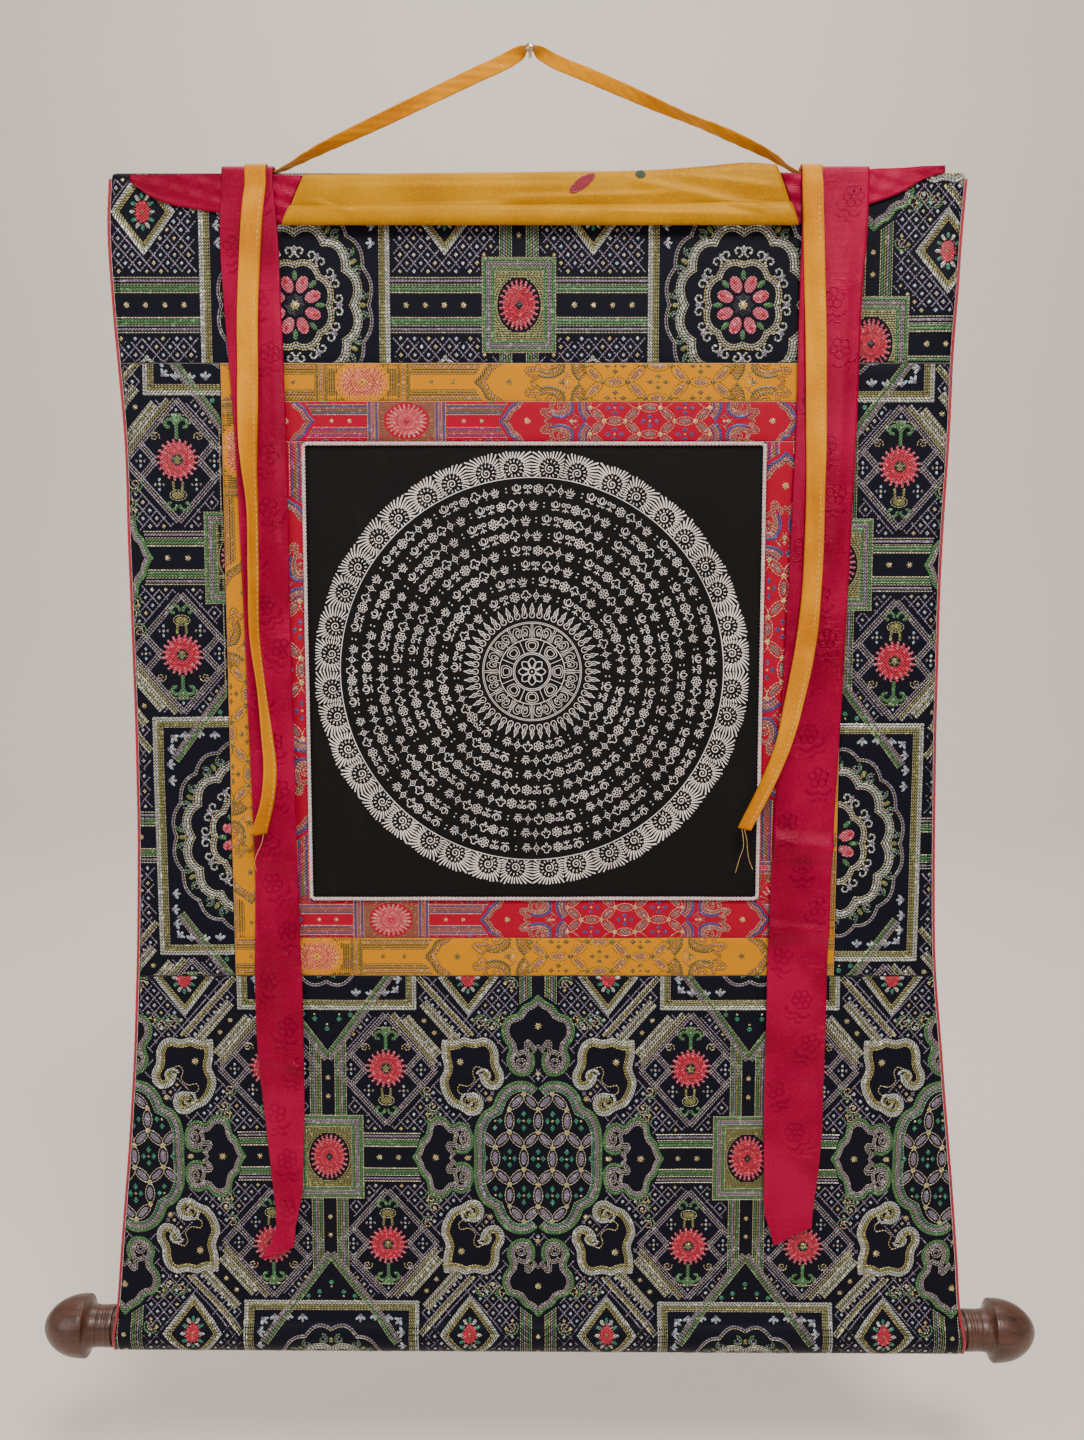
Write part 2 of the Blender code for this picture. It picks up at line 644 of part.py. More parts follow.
def build_veil(material):
    """The silk cover, gathered up into one back-and-forth fold along the top."""
    rows = []
    for point in VEIL_SECTION:
        row = []
        for station in range(VEIL_STATIONS):
            share = station / (VEIL_STATIONS - 1)
            spread = VEIL_SLANT * (2 * share - 1) * point["down"]
            x = between(VEIL_LEFT, VEIL_RIGHT, share) + spread
            top = read_table(VEIL_TOP, "x", "z", between(VEIL_LEFT, VEIL_RIGHT, share))
            z = between(top, VEIL_FOOT, point["down"])
            row.append(Vector((x, TOP_FRONT - point["out"], z)))
        rows.append(row)
    return thick_sheet("veil_yellow", rows, SILK, material)


def build_crimson(name, stations, end_row, material):
    """The veil's crimson side, folded double. The end beside the bundle follows its slant."""
    end_x = stations[end_row]["x"]
    side = math.copysign(1.0, end_x)
    bundle_top = read_table(VEIL_TOP, "x", "z", end_x)
    rows = []
    for point in CRIMSON_SECTION:
        row = []
        for k, station in enumerate(stations):
            x = station["x"]
            z = between(station["top"], station["foot"], point["down"])
            if k == end_row:
                down = (bundle_top - z) / (bundle_top - VEIL_FOOT)
                x += side * (VEIL_SLANT * down + VEIL_APART)
            row.append(Vector((x, TOP_FRONT - point["out"], z)))
        rows.append(row)
    return thick_sheet(name, rows, SILK, material)


def over_the_top(back, front, top, tail, left, right, columns):
    """Rows from a strip's tail behind the heading, up and over the top."""
    centre = (back + front) / 2
    reach = (back - front) / 2
    foot = top - LOOP_RISE
    line = [(back, tail), (back, between(tail, foot, 0.5))]
    for step in range(LOOP_STEPS + 1):
        angle = math.pi * step / LOOP_STEPS
        flat = abs(math.cos(angle)) ** (2 / 3)
        rise = abs(math.sin(angle)) ** (2 / 3)
        line.append((centre + reach * math.copysign(flat, math.cos(angle)), foot + LOOP_RISE * rise))
    rows = []
    for y, z in line:
        rows.append([Vector((between(left, right, k / columns), y, z)) for k in range(columns + 1)])
    return rows


def build_sash(name, table, material):
    first = table[0]
    columns = 3
    rows = over_the_top(
        SASH_BACK, SASH_FRONT, SASH_TOP, SASH_TAIL, first["left"], first["right"], columns
    )
    for row in table:
        middle = (row["left"] + row["right"]) / 2
        y = min(SASH_FRONT, cloth_front(middle, row["z"]) - CLEAR - SILK / 2)
        y = min(y, cloth_front(row["left"], row["z"]) - CLEAR - SILK / 2) - row["out"]
        line = []
        for k in range(columns + 1):
            line.append(Vector((between(row["left"], row["right"], k / columns), y, row["z"])))
        rows.append(line)
    return thick_sheet(name, rows, SILK, material)


def build_streamer(name, table, sash_table, turn, material):
    first = table[0]
    rows = over_the_top(
        STREAMER_BACK, STREAMER_FRONT, STREAMER_TOP, STREAMER_TAIL, first["left"], first["right"], 2
    )
    for row in table:
        seen = row["right"] - row["left"]
        depth = math.sqrt(max(0.0, STREAMER ** 2 - seen ** 2)) / 2
        depth = min(depth, 0.0055)
        middle = (row["left"] + row["right"]) / 2
        sash_out = read_table(sash_table, "z", "out", row["z"])
        face = cloth_front(middle, row["z"]) - CLEAR - SILK - sash_out
        y = min(STREAMER_FRONT, face - CLEAR / 2 - SILK / 2) - row["out"] - depth
        line = []
        for k in (-1, 0, 1):
            line.append(Vector((middle + k * seen / 2, y + turn * k * depth, row["z"])))
        rows.append(line)
    return thick_sheet(name, rows, SILK, material)


def main():
    clear_scene()
    navy = finish("navy_brocade", (0.045, 0.055, 0.06), 0.55)
    yellow = finish("yellow_brocade", (0.72, 0.34, 0.03), 0.5)
    red = finish("red_brocade", (0.45, 0.02, 0.05), 0.5)
    canvas = finish("black_canvas", (0.012, 0.011, 0.011), 0.7)
    twist = finish("pink_cord", (0.75, 0.55, 0.55), 0.6)
    crimson = finish("crimson_silk", (0.50, 0.002, 0.035), 0.4)
    mustard = finish("mustard_silk", (0.66, 0.30, 0.012), 0.38)
    ribbon = finish("orange_ribbon", (0.80, 0.32, 0.02), 0.42)
    piping = finish("red_binding", (0.55, 0.012, 0.03), 0.55)
    wood = finish("dark_wood", (0.075, 0.033, 0.022), 0.38)
    pine = finish("plain_wood", (0.45, 0.30, 0.17), 0.6)
    brass = finish("brass", (0.42, 0.30, 0.18), 0.35, 1.0)

    build_nail(brass)
    build_strap(ribbon)
    build_batten(pine)
    build_heading("heading_panel", left_edge, HEADING_END, navy)
    build_heading("heading_end", HEADING_END, right_edge, navy)
    panel("side_panel_left", HEADING_SEAM, FRAME_FOOT, left_edge, FRAME_LEFT, navy)
    panel("side_panel_right", HEADING_SEAM, FRAME_FOOT, FRAME_RIGHT, right_edge, navy)
    panel("yellow_border_top", HEADING_SEAM, YELLOW_SEAM, FRAME_LEFT, FRAME_RIGHT, yellow)
    panel("yellow_border_foot", RED_SEAM, FRAME_FOOT, FRAME_LEFT, FRAME_RIGHT, yellow)
    panel("yellow_border_left", YELLOW_SEAM, RED_SEAM, FRAME_LEFT, RED_LEFT, yellow)
    panel("yellow_border_right", YELLOW_SEAM, RED_SEAM, RED_RIGHT, FRAME_RIGHT, yellow)
    panel("red_border_top", YELLOW_SEAM, PAINTING_TOP, RED_LEFT, RED_RIGHT, red)
    panel("red_border_foot", PAINTING_FOOT, RED_SEAM, RED_LEFT, RED_RIGHT, red)
    panel("red_border_left", PAINTING_TOP, PAINTING_FOOT, RED_LEFT, PAINTING_LEFT, red)
    panel("red_border_right", PAINTING_TOP, PAINTING_FOOT, PAINTING_RIGHT, RED_RIGHT, red)
    panel("painting", PAINTING_TOP, PAINTING_FOOT, PAINTING_LEFT, PAINTING_RIGHT, canvas)
    build_painting_cord(twist)
    build_lower_panel(navy)
    build_binding("binding_left", left_edge, -1, piping)
    build_binding("binding_right", right_edge, 1, piping)
    turned("bottom_dowel", [(ROD_LEFT + GAP, DOWEL), (ROD_RIGHT - GAP, DOWEL)], 24, on_rod, wood)
    build_finial("finial_left", ROD_LEFT, -1, FINIAL_LEFT, wood)
    build_finial("finial_right", ROD_RIGHT, 1, FINIAL_RIGHT, wood)
    build_veil(mustard)
    build_crimson("veil_crimson_left", CRIMSON_LEFT, len(CRIMSON_LEFT) - 1, crimson)
    build_crimson("veil_crimson_right", CRIMSON_RIGHT, 0, crimson)
    build_sash("sash_left", SASH_ROWS_LEFT, crimson)
    build_sash("sash_right", SASH_ROWS_RIGHT, crimson)
    build_streamer("streamer_left", STREAMER_ROWS_LEFT, SASH_ROWS_LEFT, 1, ribbon)
    build_streamer("streamer_right", STREAMER_ROWS_RIGHT, SASH_ROWS_RIGHT, -1, ribbon)


main()
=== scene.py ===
import itertools
import json
import math
import random

import bmesh
import bpy
import numpy as np
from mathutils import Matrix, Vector

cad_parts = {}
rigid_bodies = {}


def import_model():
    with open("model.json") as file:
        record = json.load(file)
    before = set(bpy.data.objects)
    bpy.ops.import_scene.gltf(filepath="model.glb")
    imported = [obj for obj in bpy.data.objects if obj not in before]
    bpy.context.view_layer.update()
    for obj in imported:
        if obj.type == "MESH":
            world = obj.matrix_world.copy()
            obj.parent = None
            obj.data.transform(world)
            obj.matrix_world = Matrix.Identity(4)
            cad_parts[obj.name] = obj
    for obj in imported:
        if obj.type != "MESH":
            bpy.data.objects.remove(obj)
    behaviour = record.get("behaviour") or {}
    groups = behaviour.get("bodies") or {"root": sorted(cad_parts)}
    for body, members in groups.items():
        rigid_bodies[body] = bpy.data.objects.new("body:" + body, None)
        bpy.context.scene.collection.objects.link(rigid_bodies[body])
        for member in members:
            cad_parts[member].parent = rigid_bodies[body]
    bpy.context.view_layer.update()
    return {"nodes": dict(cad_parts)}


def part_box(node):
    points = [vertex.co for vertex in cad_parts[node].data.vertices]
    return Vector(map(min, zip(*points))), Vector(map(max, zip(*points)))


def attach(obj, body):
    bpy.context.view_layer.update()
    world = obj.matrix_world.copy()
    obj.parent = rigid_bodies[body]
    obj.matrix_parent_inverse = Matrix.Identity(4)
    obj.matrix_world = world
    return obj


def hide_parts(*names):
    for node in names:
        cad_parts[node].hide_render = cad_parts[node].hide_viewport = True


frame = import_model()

# ================================================================ sizes
GAP = 0.0003
CLEAR = 0.002               # in front of a panel, where a loose strip hangs past it
PANEL = 0.0016
SILK = 0.001
THREAD = 0.0005              # a loose thread's diameter

# Levels and upright seams come from the CAD pieces' boxes.
TOP_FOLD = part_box("heading_panel")[1][2]
HEADING_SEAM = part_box("heading_panel")[0][2]
PAINTING_LOW, PAINTING_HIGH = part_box("painting")
HEADING_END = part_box("heading_panel")[1][0]
FRAME_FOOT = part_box("yellow_border_foot")[0][2]
PAINTING_LEFT, PAINTING_RIGHT = PAINTING_LOW[0], PAINTING_HIGH[0]
PAINTING_FOOT, PAINTING_TOP = PAINTING_LOW[2], PAINTING_HIGH[2]

STRAIGHT = -0.125            # above this the cloth lies flat on the batten
ROLL_CREASE = -1.08
TOP_FRONT, CREASE_FRONT = -0.015, -0.04
SLEEVE_Y, SLEEVE = -0.0091, 0.0051
HEM_FOOT = -0.13
ROD_Y, ROD_Z, ROD_LEAN = -0.029, -1.107, -0.0055
ROLL, ROLL_INNER = 0.0192, 0.0171
FIRST_TURN, LAST_TURN = 48, 425   # the roll's turn, in degrees from straight up
ROLL_SPREAD, WIDEST = 0.7, -1.128   # how the cloth widens round the roll, and the level where it stops
PANEL_STEP = 0.008           # between a panel's grid lines
END_STEPS = (0.0012, 0.0035)   # the extra lines at its edges
SEAM_DEPTH, SEAM_WIDTH = 0.0006, 0.0034

# The cloth's outer edges: level, left, right.
OUTLINE = [
    (-0.0945, -0.3435, 0.3575), (-0.13, -0.3465, 0.3555), (-0.197, -0.345, 0.3515),
    (-0.312, -0.3385, 0.349), (-0.405, -0.338, 0.3455), (-0.506, -0.337, 0.3455),
    (-0.649, -0.338, 0.348), (-0.772, -0.3435, 0.353), (-0.849, -0.3485, 0.361),
    (-0.909, -0.3535, 0.3675), (-0.979, -0.3605, 0.375), (-1.035, -0.3665, 0.3805),
    (-1.08, -0.371, 0.3845), (-1.107, -0.3745, 0.3885), (-1.14, -0.3765, 0.3905),
]
# Soft swells: centre x, z, spread x, z, height towards the room.
SWELLS = [
    (-0.315, -0.56, 0.04, 0.19, 0.003), (0.33, -0.42, 0.045, 0.15, 0.0028),
    (0.345, -0.19, 0.025, 0.045, 0.004), (-0.06, -0.51, 0.11, 0.14, 0.0022),
    (0.11, -0.6, 0.07, 0.09, -0.0015), (-0.235, -0.87, 0.07, 0.1, -0.0022),
    (0.05, -0.93, 0.12, 0.08, 0.0028), (0.3, -0.9, 0.05, 0.11, 0.0024),
]

# ================================================================ camera, light, floor
CAMERA_AT = (0.0097, -1.2164, -0.3804)
CAMERA_DOWN = 8.0
LENS = 35.0
FLOOR = -1.3
BACKDROP = 4.5


def set_camera():
    """The camera at the photograph's height, lens and downward tilt."""
    data = bpy.data.cameras.new("camera")
    data.lens = LENS
    data.sensor_width = 36.0
    data.clip_start = 0.01
    made = bpy.data.objects.new("camera", data)
    made.location = CAMERA_AT
    made.rotation_euler = (math.radians(90 - CAMERA_DOWN), 0, 0)
    bpy.context.scene.collection.objects.link(made)
    bpy.context.scene.camera = made


def area_light(name, at, target, size, energy, colour):
    data = bpy.data.lights.new(name, "AREA")
    data.shape = "SQUARE"
    data.size = size
    data.energy = energy
    data.color = colour
    made = bpy.data.objects.new(name, data)
    made.location = at
    made.rotation_euler = (Vector(target) - Vector(at)).to_track_quat("-Z", "Y").to_euler()
    bpy.context.scene.collection.objects.link(made)


def set_light():
    """One warm key from high right, a soft fill from the left, and light on the backdrop."""
    area_light("key", (0.5, -2.3, 1.9), (0, 0, -0.6), 1.0, 104, (1.0, 0.955, 0.9))
    area_light("fill", (-2.4, -2.0, 0.2), (0, 0, -0.6), 1.8, 26, (0.99, 0.98, 1.0))
    area_light("backdrop", (0.0, 1.2, 2.4), (0, 4.4, -0.6), 2.6, 120, (1.0, 0.965, 0.93))
    world = bpy.data.worlds.new("studio")
    world.use_nodes = True
    shade = world.node_tree.nodes["Background"]
    shade.inputs["Color"].default_value = (0.92, 0.88, 0.84, 1)
    shade.inputs["Strength"].default_value = 0.42
    bpy.context.scene.world = world


# ================================================================ node helpers
def node(tree, kind, **settings):
    made = tree.nodes.new(kind)
    for key, value in settings.items():
        setattr(made, key, value)
    return made


def wire(tree, value, socket):
    """A number or colour set on a socket, or another node's output linked to it."""
    if isinstance(value, (int, float)):
        socket.default_value = value
    elif isinstance(value, tuple):
        socket.default_value = (*value, 1.0) if len(value) == 3 and socket.type == "RGBA" else value
    else:
        tree.links.new(value, socket)


def maths(tree, operation, a, b=0.0, c=0.0):
    made = node(tree, "ShaderNodeMath", operation=operation)
    wire(tree, a, made.inputs[0])
    wire(tree, b, made.inputs[1])
    wire(tree, c, made.inputs[2])
    return made.outputs[0]


def blend(tree, share, a, b):
    made = node(tree, "ShaderNodeMix", data_type="RGBA")
    wire(tree, share, made.inputs[0])
    wire(tree, a, made.inputs[6])
    wire(tree, b, made.inputs[7])
    return made.outputs[2]


def ramp(tree, value, low, high, out_low=0.0, out_high=1.0):
    made = node(tree, "ShaderNodeMapRange")
    made.interpolation_type = "SMOOTHSTEP"
    wire(tree, value, made.inputs[0])
    for place, number in zip((1, 2, 3, 4), (low, high, out_low, out_high)):
        made.inputs[place].default_value = number
    return made.outputs[0]


def noise(tree, at, scale, detail=3.0, rough=0.55):
    made = node(tree, "ShaderNodeTexNoise")
    wire(tree, at, made.inputs["Vector"])
    made.inputs["Scale"].default_value = scale
    made.inputs["Detail"].default_value = detail
    made.inputs["Roughness"].default_value = rough
    return made.outputs["Fac"]


def stretched(tree, at, scale):
    made = node(tree, "ShaderNodeMapping")
    wire(tree, at, made.inputs["Vector"])
    made.inputs["Scale"].default_value = scale
    return made.outputs[0]


def split(tree, at):
    """A place's X, Y and Z."""
    made = node(tree, "ShaderNodeSeparateXYZ")
    wire(tree, at, made.inputs[0])
    return made.outputs


def bump(tree, height, strength, distance, under=None):
    made = node(tree, "ShaderNodeBump")
    made.inputs["Strength"].default_value = strength
    made.inputs["Distance"].default_value = distance
    wire(tree, height, made.inputs["Height"])
    if under is not None:
        wire(tree, under, made.inputs["Normal"])
    return made.outputs[0]


def new_material(name):
    """A material with its tree, its shader and its texture coordinates."""
    made = bpy.data.materials.new(name)
    made.use_nodes = True
    tree = made.node_tree
    shader = tree.nodes["Principled BSDF"]
    place = node(tree, "ShaderNodeTexCoord")
    return made, tree, shader, place


def set_shader(tree, shader, **values):
    for key, value in values.items():
        wire(tree, value, shader.inputs[key.replace("_", " ")])


def stripes(tree, value, period, width=0.5):
    """0 to 1 waves along a value, this far apart."""
    turned = maths(tree, "MULTIPLY", value, 2 * math.pi / period)
    wave = maths(tree, "SINE", turned)
    return ramp(tree, wave, -width, width)


# ================================================================ materials
def brocade_ground(name, dark, light):
    """Satin ground: fine ribs, a twill slant and uneven dyeing."""
    made, tree, shader, place = new_material(name)
    at = place.outputs["Object"]
    parts = split(tree, at)
    slant = maths(tree, "MULTIPLY_ADD", parts["Z"], 0.62, parts["X"])
    ribs = stripes(tree, slant, 0.0013, 0.8)
    rows = stripes(tree, parts["Z"], 0.0011, 0.9)
    weave = maths(tree, "MULTIPLY", ribs, rows)
    cloudy = noise(tree, at, 22.0, 4.0)
    speck = noise(tree, at, 900.0, 2.0)
    share = maths(tree, "MULTIPLY_ADD", speck, 0.55, maths(tree, "MULTIPLY", cloudy, 0.4))
    share = maths(tree, "MULTIPLY", share, ramp(tree, weave, 0.0, 1.0, 0.55, 1.0))
    colour = blend(tree, share, dark, light)
    set_shader(tree, shader, Base_Color=colour, Roughness=ramp(tree, speck, 0.3, 0.7, 0.42, 0.62))
    shader.inputs["Specular IOR Level"].default_value = 0.13
    wire(tree, bump(tree, weave, 0.5, 0.0003), shader.inputs["Normal"])
    return made


def thread(name, dark, light, metal):
    """Woven figure thread: slanting turns along each line, flecked light and dark, with painted glints
    lightened into its colour.
    """
    made, tree, shader, place = new_material(name)
    parts = split(tree, place.outputs["UV"])
    slant = maths(tree, "MULTIPLY_ADD", parts["Y"], 1.1, parts["X"])
    turns = stripes(tree, slant, 0.0027, 0.75)
    fleck = noise(tree, place.outputs["Object"], 650.0, 2.0)
    share = maths(tree, "MULTIPLY_ADD", turns, 0.55, maths(tree, "MULTIPLY", fleck, 0.6))
    colour = blend(tree, ramp(tree, share, 0.3, 0.84), tuple(c * 0.42 for c in dark), light)
    # Painted highlight: bright glints for the threads' sparkle, lightened into the base colour.
    glint = ramp(tree, noise(tree, place.outputs["Object"], 420.0, 1.0), 0.6, 0.68)
    colour = blend(tree, maths(tree, "MULTIPLY", glint, 0.75), colour, tuple(min(1, c * 1.9) for c in light))
    set_shader(tree, shader, Base_Color=colour, Roughness=0.36)
    shader.inputs["Metallic"].default_value = metal
    shader.inputs["Specular IOR Level"].default_value = 0.35
    wire(tree, bump(tree, turns, 0.6, 0.0003), shader.inputs["Normal"])
    return made


# Each colourway's threads, in the order of THREADS: dark, light, metallic.
THREAD_COLOURS = {
    "navy": [
        ((0.2, 0.2, 0.17), (0.52, 0.53, 0.47), 0.25), ((0.085, 0.08, 0.018), (0.25, 0.24, 0.08), 0.15),
        ((0.022, 0.075, 0.024), (0.085, 0.215, 0.08), 0.1), ((0.085, 0.064, 0.1), (0.24, 0.195, 0.27), 0.0),
        ((0.34, 0.29, 0.17), (0.62, 0.56, 0.37), 0.3), ((0.006, 0.07, 0.042), (0.035, 0.24, 0.14), 0.0),
        ((0.3, 0.22, 0.085), (0.66, 0.52, 0.24), 0.4), ((0.36, 0.04, 0.07), (0.68, 0.13, 0.18), 0.0),
        ((0.3, 0.004, 0.018), (0.56, 0.016, 0.046), 0.0), ((0.2, 0.27, 0.38), (0.5, 0.6, 0.74), 0.1),
        ((0.0025, 0.003, 0.008), (0.01, 0.012, 0.026), 0.0),
    ],
    "yellow": [
        ((0.34, 0.15, 0.06), (0.58, 0.3, 0.14), 0.0), ((0.05, 0.034, 0.004), (0.155, 0.11, 0.02), 0.0),
        ((0.1, 0.066, 0.012), (0.24, 0.165, 0.04), 0.0), ((0.24, 0.1, 0.05), (0.44, 0.22, 0.11), 0.0),
        ((0.12, 0.08, 0.012), (0.3, 0.21, 0.05), 0.1), ((0.1, 0.065, 0.01), (0.26, 0.17, 0.04), 0.0),
        ((0.1, 0.07, 0.01), (0.28, 0.2, 0.05), 0.1), ((0.62, 0.13, 0.05), (0.85, 0.26, 0.11), 0.0),
        ((0.55, 0.09, 0.05), (0.8, 0.2, 0.1), 0.0), ((0.42, 0.26, 0.12), (0.7, 0.47, 0.26), 0.0),
        ((0.66, 0.26, 0.01), (0.85, 0.4, 0.03), 0.0),
    ],
    "red": [
        ((0.36, 0.09, 0.09), (0.64, 0.24, 0.22), 0.0), ((0.1, 0.05, 0.02), (0.26, 0.16, 0.07), 0.0),
        ((0.025, 0.025, 0.11), (0.09, 0.09, 0.28), 0.0), ((0.14, 0.06, 0.06), (0.34, 0.17, 0.15), 0.0),
        ((0.5, 0.33, 0.16), (0.8, 0.6, 0.36), 0.2), ((0.03, 0.02, 0.1), (0.11, 0.08, 0.26), 0.0),
        ((0.46, 0.28, 0.09), (0.78, 0.54, 0.24), 0.2), ((0.48, 0.12, 0.11), (0.76, 0.28, 0.26), 0.0),
        ((0.55, 0.03, 0.05), (0.8, 0.1, 0.13), 0.0), ((0.42, 0.19, 0.18), (0.68, 0.38, 0.34), 0.0),
        ((0.34, 0.003, 0.02), (0.58, 0.012, 0.045), 0.0),
    ],
}


SILK_RIB = 0.0009            # between the silks' ribs


def silk(name, deep, bright, tint, rough=0.34, crinkle_and_glint=0.0, soften=0.3):
    """Silk satin: fine ribs both ways, slubs, soft pressed creases, and painted glints: bright specks and
    bright patches on the crushed folds, painted into the base colour.
    """
    made, tree, shader, place = new_material(name)
    at = place.outputs["UV"]
    parts = split(tree, at)
    ribs = stripes(tree, parts["Y"], SILK_RIB, 0.9)
    warp = stripes(tree, parts["X"], SILK_RIB * 1.3, 0.9)
    cloudy = noise(tree, place.outputs["Object"], 14.0, 3.0)
    base = blend(tree, ramp(tree, cloudy, 0.3, 0.72), deep, bright)
    # Painted highlight: bright glints along the ribs and bright patches on the crushed folds, lightened into
    # the base colour.
    glint = ramp(tree, maths(tree, "ADD", noise(tree, at, 420.0, 2.0), maths(tree, "MULTIPLY", ribs, 0.2)),
                 0.72, 0.82)
    folds = noise(tree, stretched(tree, at, (45.0, 300.0, 1.0)), 1.0, 3.0, 0.7)
    patches = ramp(tree, noise(tree, stretched(tree, at, (9.0, 17.0, 1.0)), 1.0, 2.0), 0.52, 0.66)
    crushed = maths(tree, "MULTIPLY", folds, patches)
    glint = maths(tree, "MULTIPLY_ADD", ramp(tree, crushed, 0.5, 0.66), crinkle_and_glint * 2.0, glint)
    base = blend(tree, maths(tree, "MULTIPLY", glint, 0.35), base, tuple(min(1, c * 1.9) for c in bright))
    slub = noise(tree, stretched(tree, at, (900.0, 60.0, 1.0)), 1.0, 2.0)
    base = blend(tree, ramp(tree, slub, 0.55, 0.8, 0.0, 0.35), base, tuple(c * 0.6 for c in deep))
    roughness = ramp(tree, slub, 0.3, 0.7, rough - 0.05, rough + 0.08)
    set_shader(tree, shader, Base_Color=base, Roughness=roughness)
    shader.inputs["Specular Tint"].default_value = (*tint, 1.0)
    fine = bump(tree, maths(tree, "ADD", ribs, maths(tree, "MULTIPLY", warp, 0.5)), 0.35, 0.0002)
    fine = bump(tree, crushed, crinkle_and_glint, 0.0014, fine)
    soft = bump(tree, noise(tree, stretched(tree, at, (30.0, 9.0, 1.0)), 1.0, 3.0), soften, 0.0016, fine)
    wire(tree, soft, shader.inputs["Normal"])
    return made


def canvas_material():
    """Near-black painted canvas: uneven, scuffed down its length, with a fine weave."""
    made, tree, shader, place = new_material("painted_canvas")
    at = place.outputs["Object"]
    cloudy = noise(tree, at, 9.0, 5.0, 0.6)
    scuff = noise(tree, stretched(tree, at, (60.0, 60.0, 12.0)), 1.0, 4.0)
    share = maths(tree, "MULTIPLY_ADD", ramp(tree, scuff, 0.55, 0.8), 0.35,
                  maths(tree, "MULTIPLY", cloudy, 0.5))
    colour = blend(tree, share, (0.0028, 0.0025, 0.0027), (0.009, 0.008, 0.0078))
    set_shader(tree, shader, Base_Color=colour, Roughness=ramp(tree, cloudy, 0.3, 0.7, 0.5, 0.66))
    shader.inputs["Specular IOR Level"].default_value = 0.14
    weave = noise(tree, at, 1100.0, 2.0)
    wire(tree, bump(tree, weave, 0.25, 0.0003), shader.inputs["Normal"])
    return made


def paint_material():
    """Chalky white paint, worn thin in places."""
    made, tree, shader, place = new_material("white_paint")
    at = place.outputs["Object"]
    worn = noise(tree, at, 260.0, 3.0)
    colour = blend(tree, ramp(tree, worn, 0.35, 0.75), (0.78, 0.69, 0.66), (0.94, 0.87, 0.83))
    set_shader(tree, shader, Base_Color=colour, Roughness=0.6)
    wire(tree, bump(tree, worn, 0.3, 0.0002), shader.inputs["Normal"])
    return made


def plain_thread(name, dark, light):
    """Matt fibre, flecked between two colours."""
    made, tree, shader, place = new_material(name)
    at = place.outputs["Object"]
    colour = blend(tree, ramp(tree, noise(tree, at, 420.0, 3.0), 0.3, 0.7), dark, light)
    set_shader(tree, shader, Base_Color=colour, Roughness=0.6)
    shader.inputs["Sheen Weight"].default_value = 0.3
    wire(tree, bump(tree, noise(tree, at, 1500.0, 2.0), 0.5, 0.0002), shader.inputs["Normal"])
    return made


def wood_material(name, dark, light, rough):
    """Turned wood: grain along the rod, pores, and faint lathe rings."""
    made, tree, shader, place = new_material(name)
    at = place.outputs["Object"]
    grain = noise(tree, stretched(tree, at, (9.0, 130.0, 130.0)), 1.0, 6.0, 0.62)
    streak = noise(tree, stretched(tree, at, (30.0, 420.0, 420.0)), 1.0, 3.0)
    pores = ramp(tree, noise(tree, stretched(tree, at, (160.0, 1400.0, 1400.0)), 1.0, 2.0), 0.6, 0.68)
    share = maths(tree, "MULTIPLY_ADD", streak, 0.45, maths(tree, "MULTIPLY", grain, 0.65))
    colour = blend(tree, ramp(tree, share, 0.32, 0.75), dark, light)
    colour = blend(tree, maths(tree, "MULTIPLY", pores, 0.6), colour, tuple(c * 0.4 for c in dark))
    parts = split(tree, at)
    rings = stripes(tree, parts["X"], 0.0011, 0.9)
    worn = ramp(tree, noise(tree, at, 60.0, 4.0), 0.42, 0.72)
    colour = blend(tree, maths(tree, "MULTIPLY", maths(tree, "MULTIPLY", rings, worn), 0.16),
                   colour, tuple(min(1, c * 2.2) for c in light))
    roughness = ramp(tree, grain, 0.3, 0.7, rough - 0.06, rough + 0.12)
    set_shader(tree, shader, Base_Color=colour, Roughness=roughness)
    shader.inputs["Coat Weight"].default_value = 0.25
    shader.inputs["Coat Roughness"].default_value = 0.3
    height = maths(tree, "MULTIPLY_ADD", rings, 0.3, maths(tree, "MULTIPLY", pores, -0.7))
    wire(tree, bump(tree, height, 0.35, 0.0003), shader.inputs["Normal"])
    return made


def brass_material():
    """Brass, darkened where it is worn."""
    made, tree, shader, place = new_material("aged_brass")
    worn = noise(tree, place.outputs["Object"], 700.0, 4.0)
    colour = blend(tree, ramp(tree, worn, 0.35, 0.65), (0.3, 0.19, 0.1), (0.72, 0.55, 0.38))
    set_shader(tree, shader, Base_Color=colour, Roughness=ramp(tree, worn, 0.3, 0.7, 0.25, 0.45))
    shader.inputs["Metallic"].default_value = 1.0
    wire(tree, bump(tree, worn, 0.2, 0.0002), shader.inputs["Normal"])
    return made


def floor_material():
    """A pale floor with hardly any variation."""
    made, tree, shader, place = new_material("pale_floor")
    soft = noise(tree, place.outputs["Object"], 1.5, 3.0)
    colour = blend(tree, soft, (0.77, 0.695, 0.63), (0.81, 0.735, 0.67))
    set_shader(tree, shader, Base_Color=colour, Roughness=0.85)
    return made


# ================================================================ the hanging surface
def distance_along(points):
    """How far each point of a line is from its start, along the line."""
    return np.concatenate([[0], np.cumsum(np.linalg.norm(np.diff(points, axis=0), axis=1))])


def closed(line):
    """A ring with its first point again at its end."""
    return np.concatenate([line, line[:1]])


def stretches(inside, least=2):
    """The indices of each unbroken stretch that is inside, where it has this many points or more."""
    for run in np.split(np.arange(len(inside)), np.flatnonzero(~inside)):
        run = run[inside[run]]
        if len(run) >= least:
            yield run


def ease(share):
    share = np.clip(share, 0.0, 1.0)
    return share * share * (3.0 - 2.0 * share)


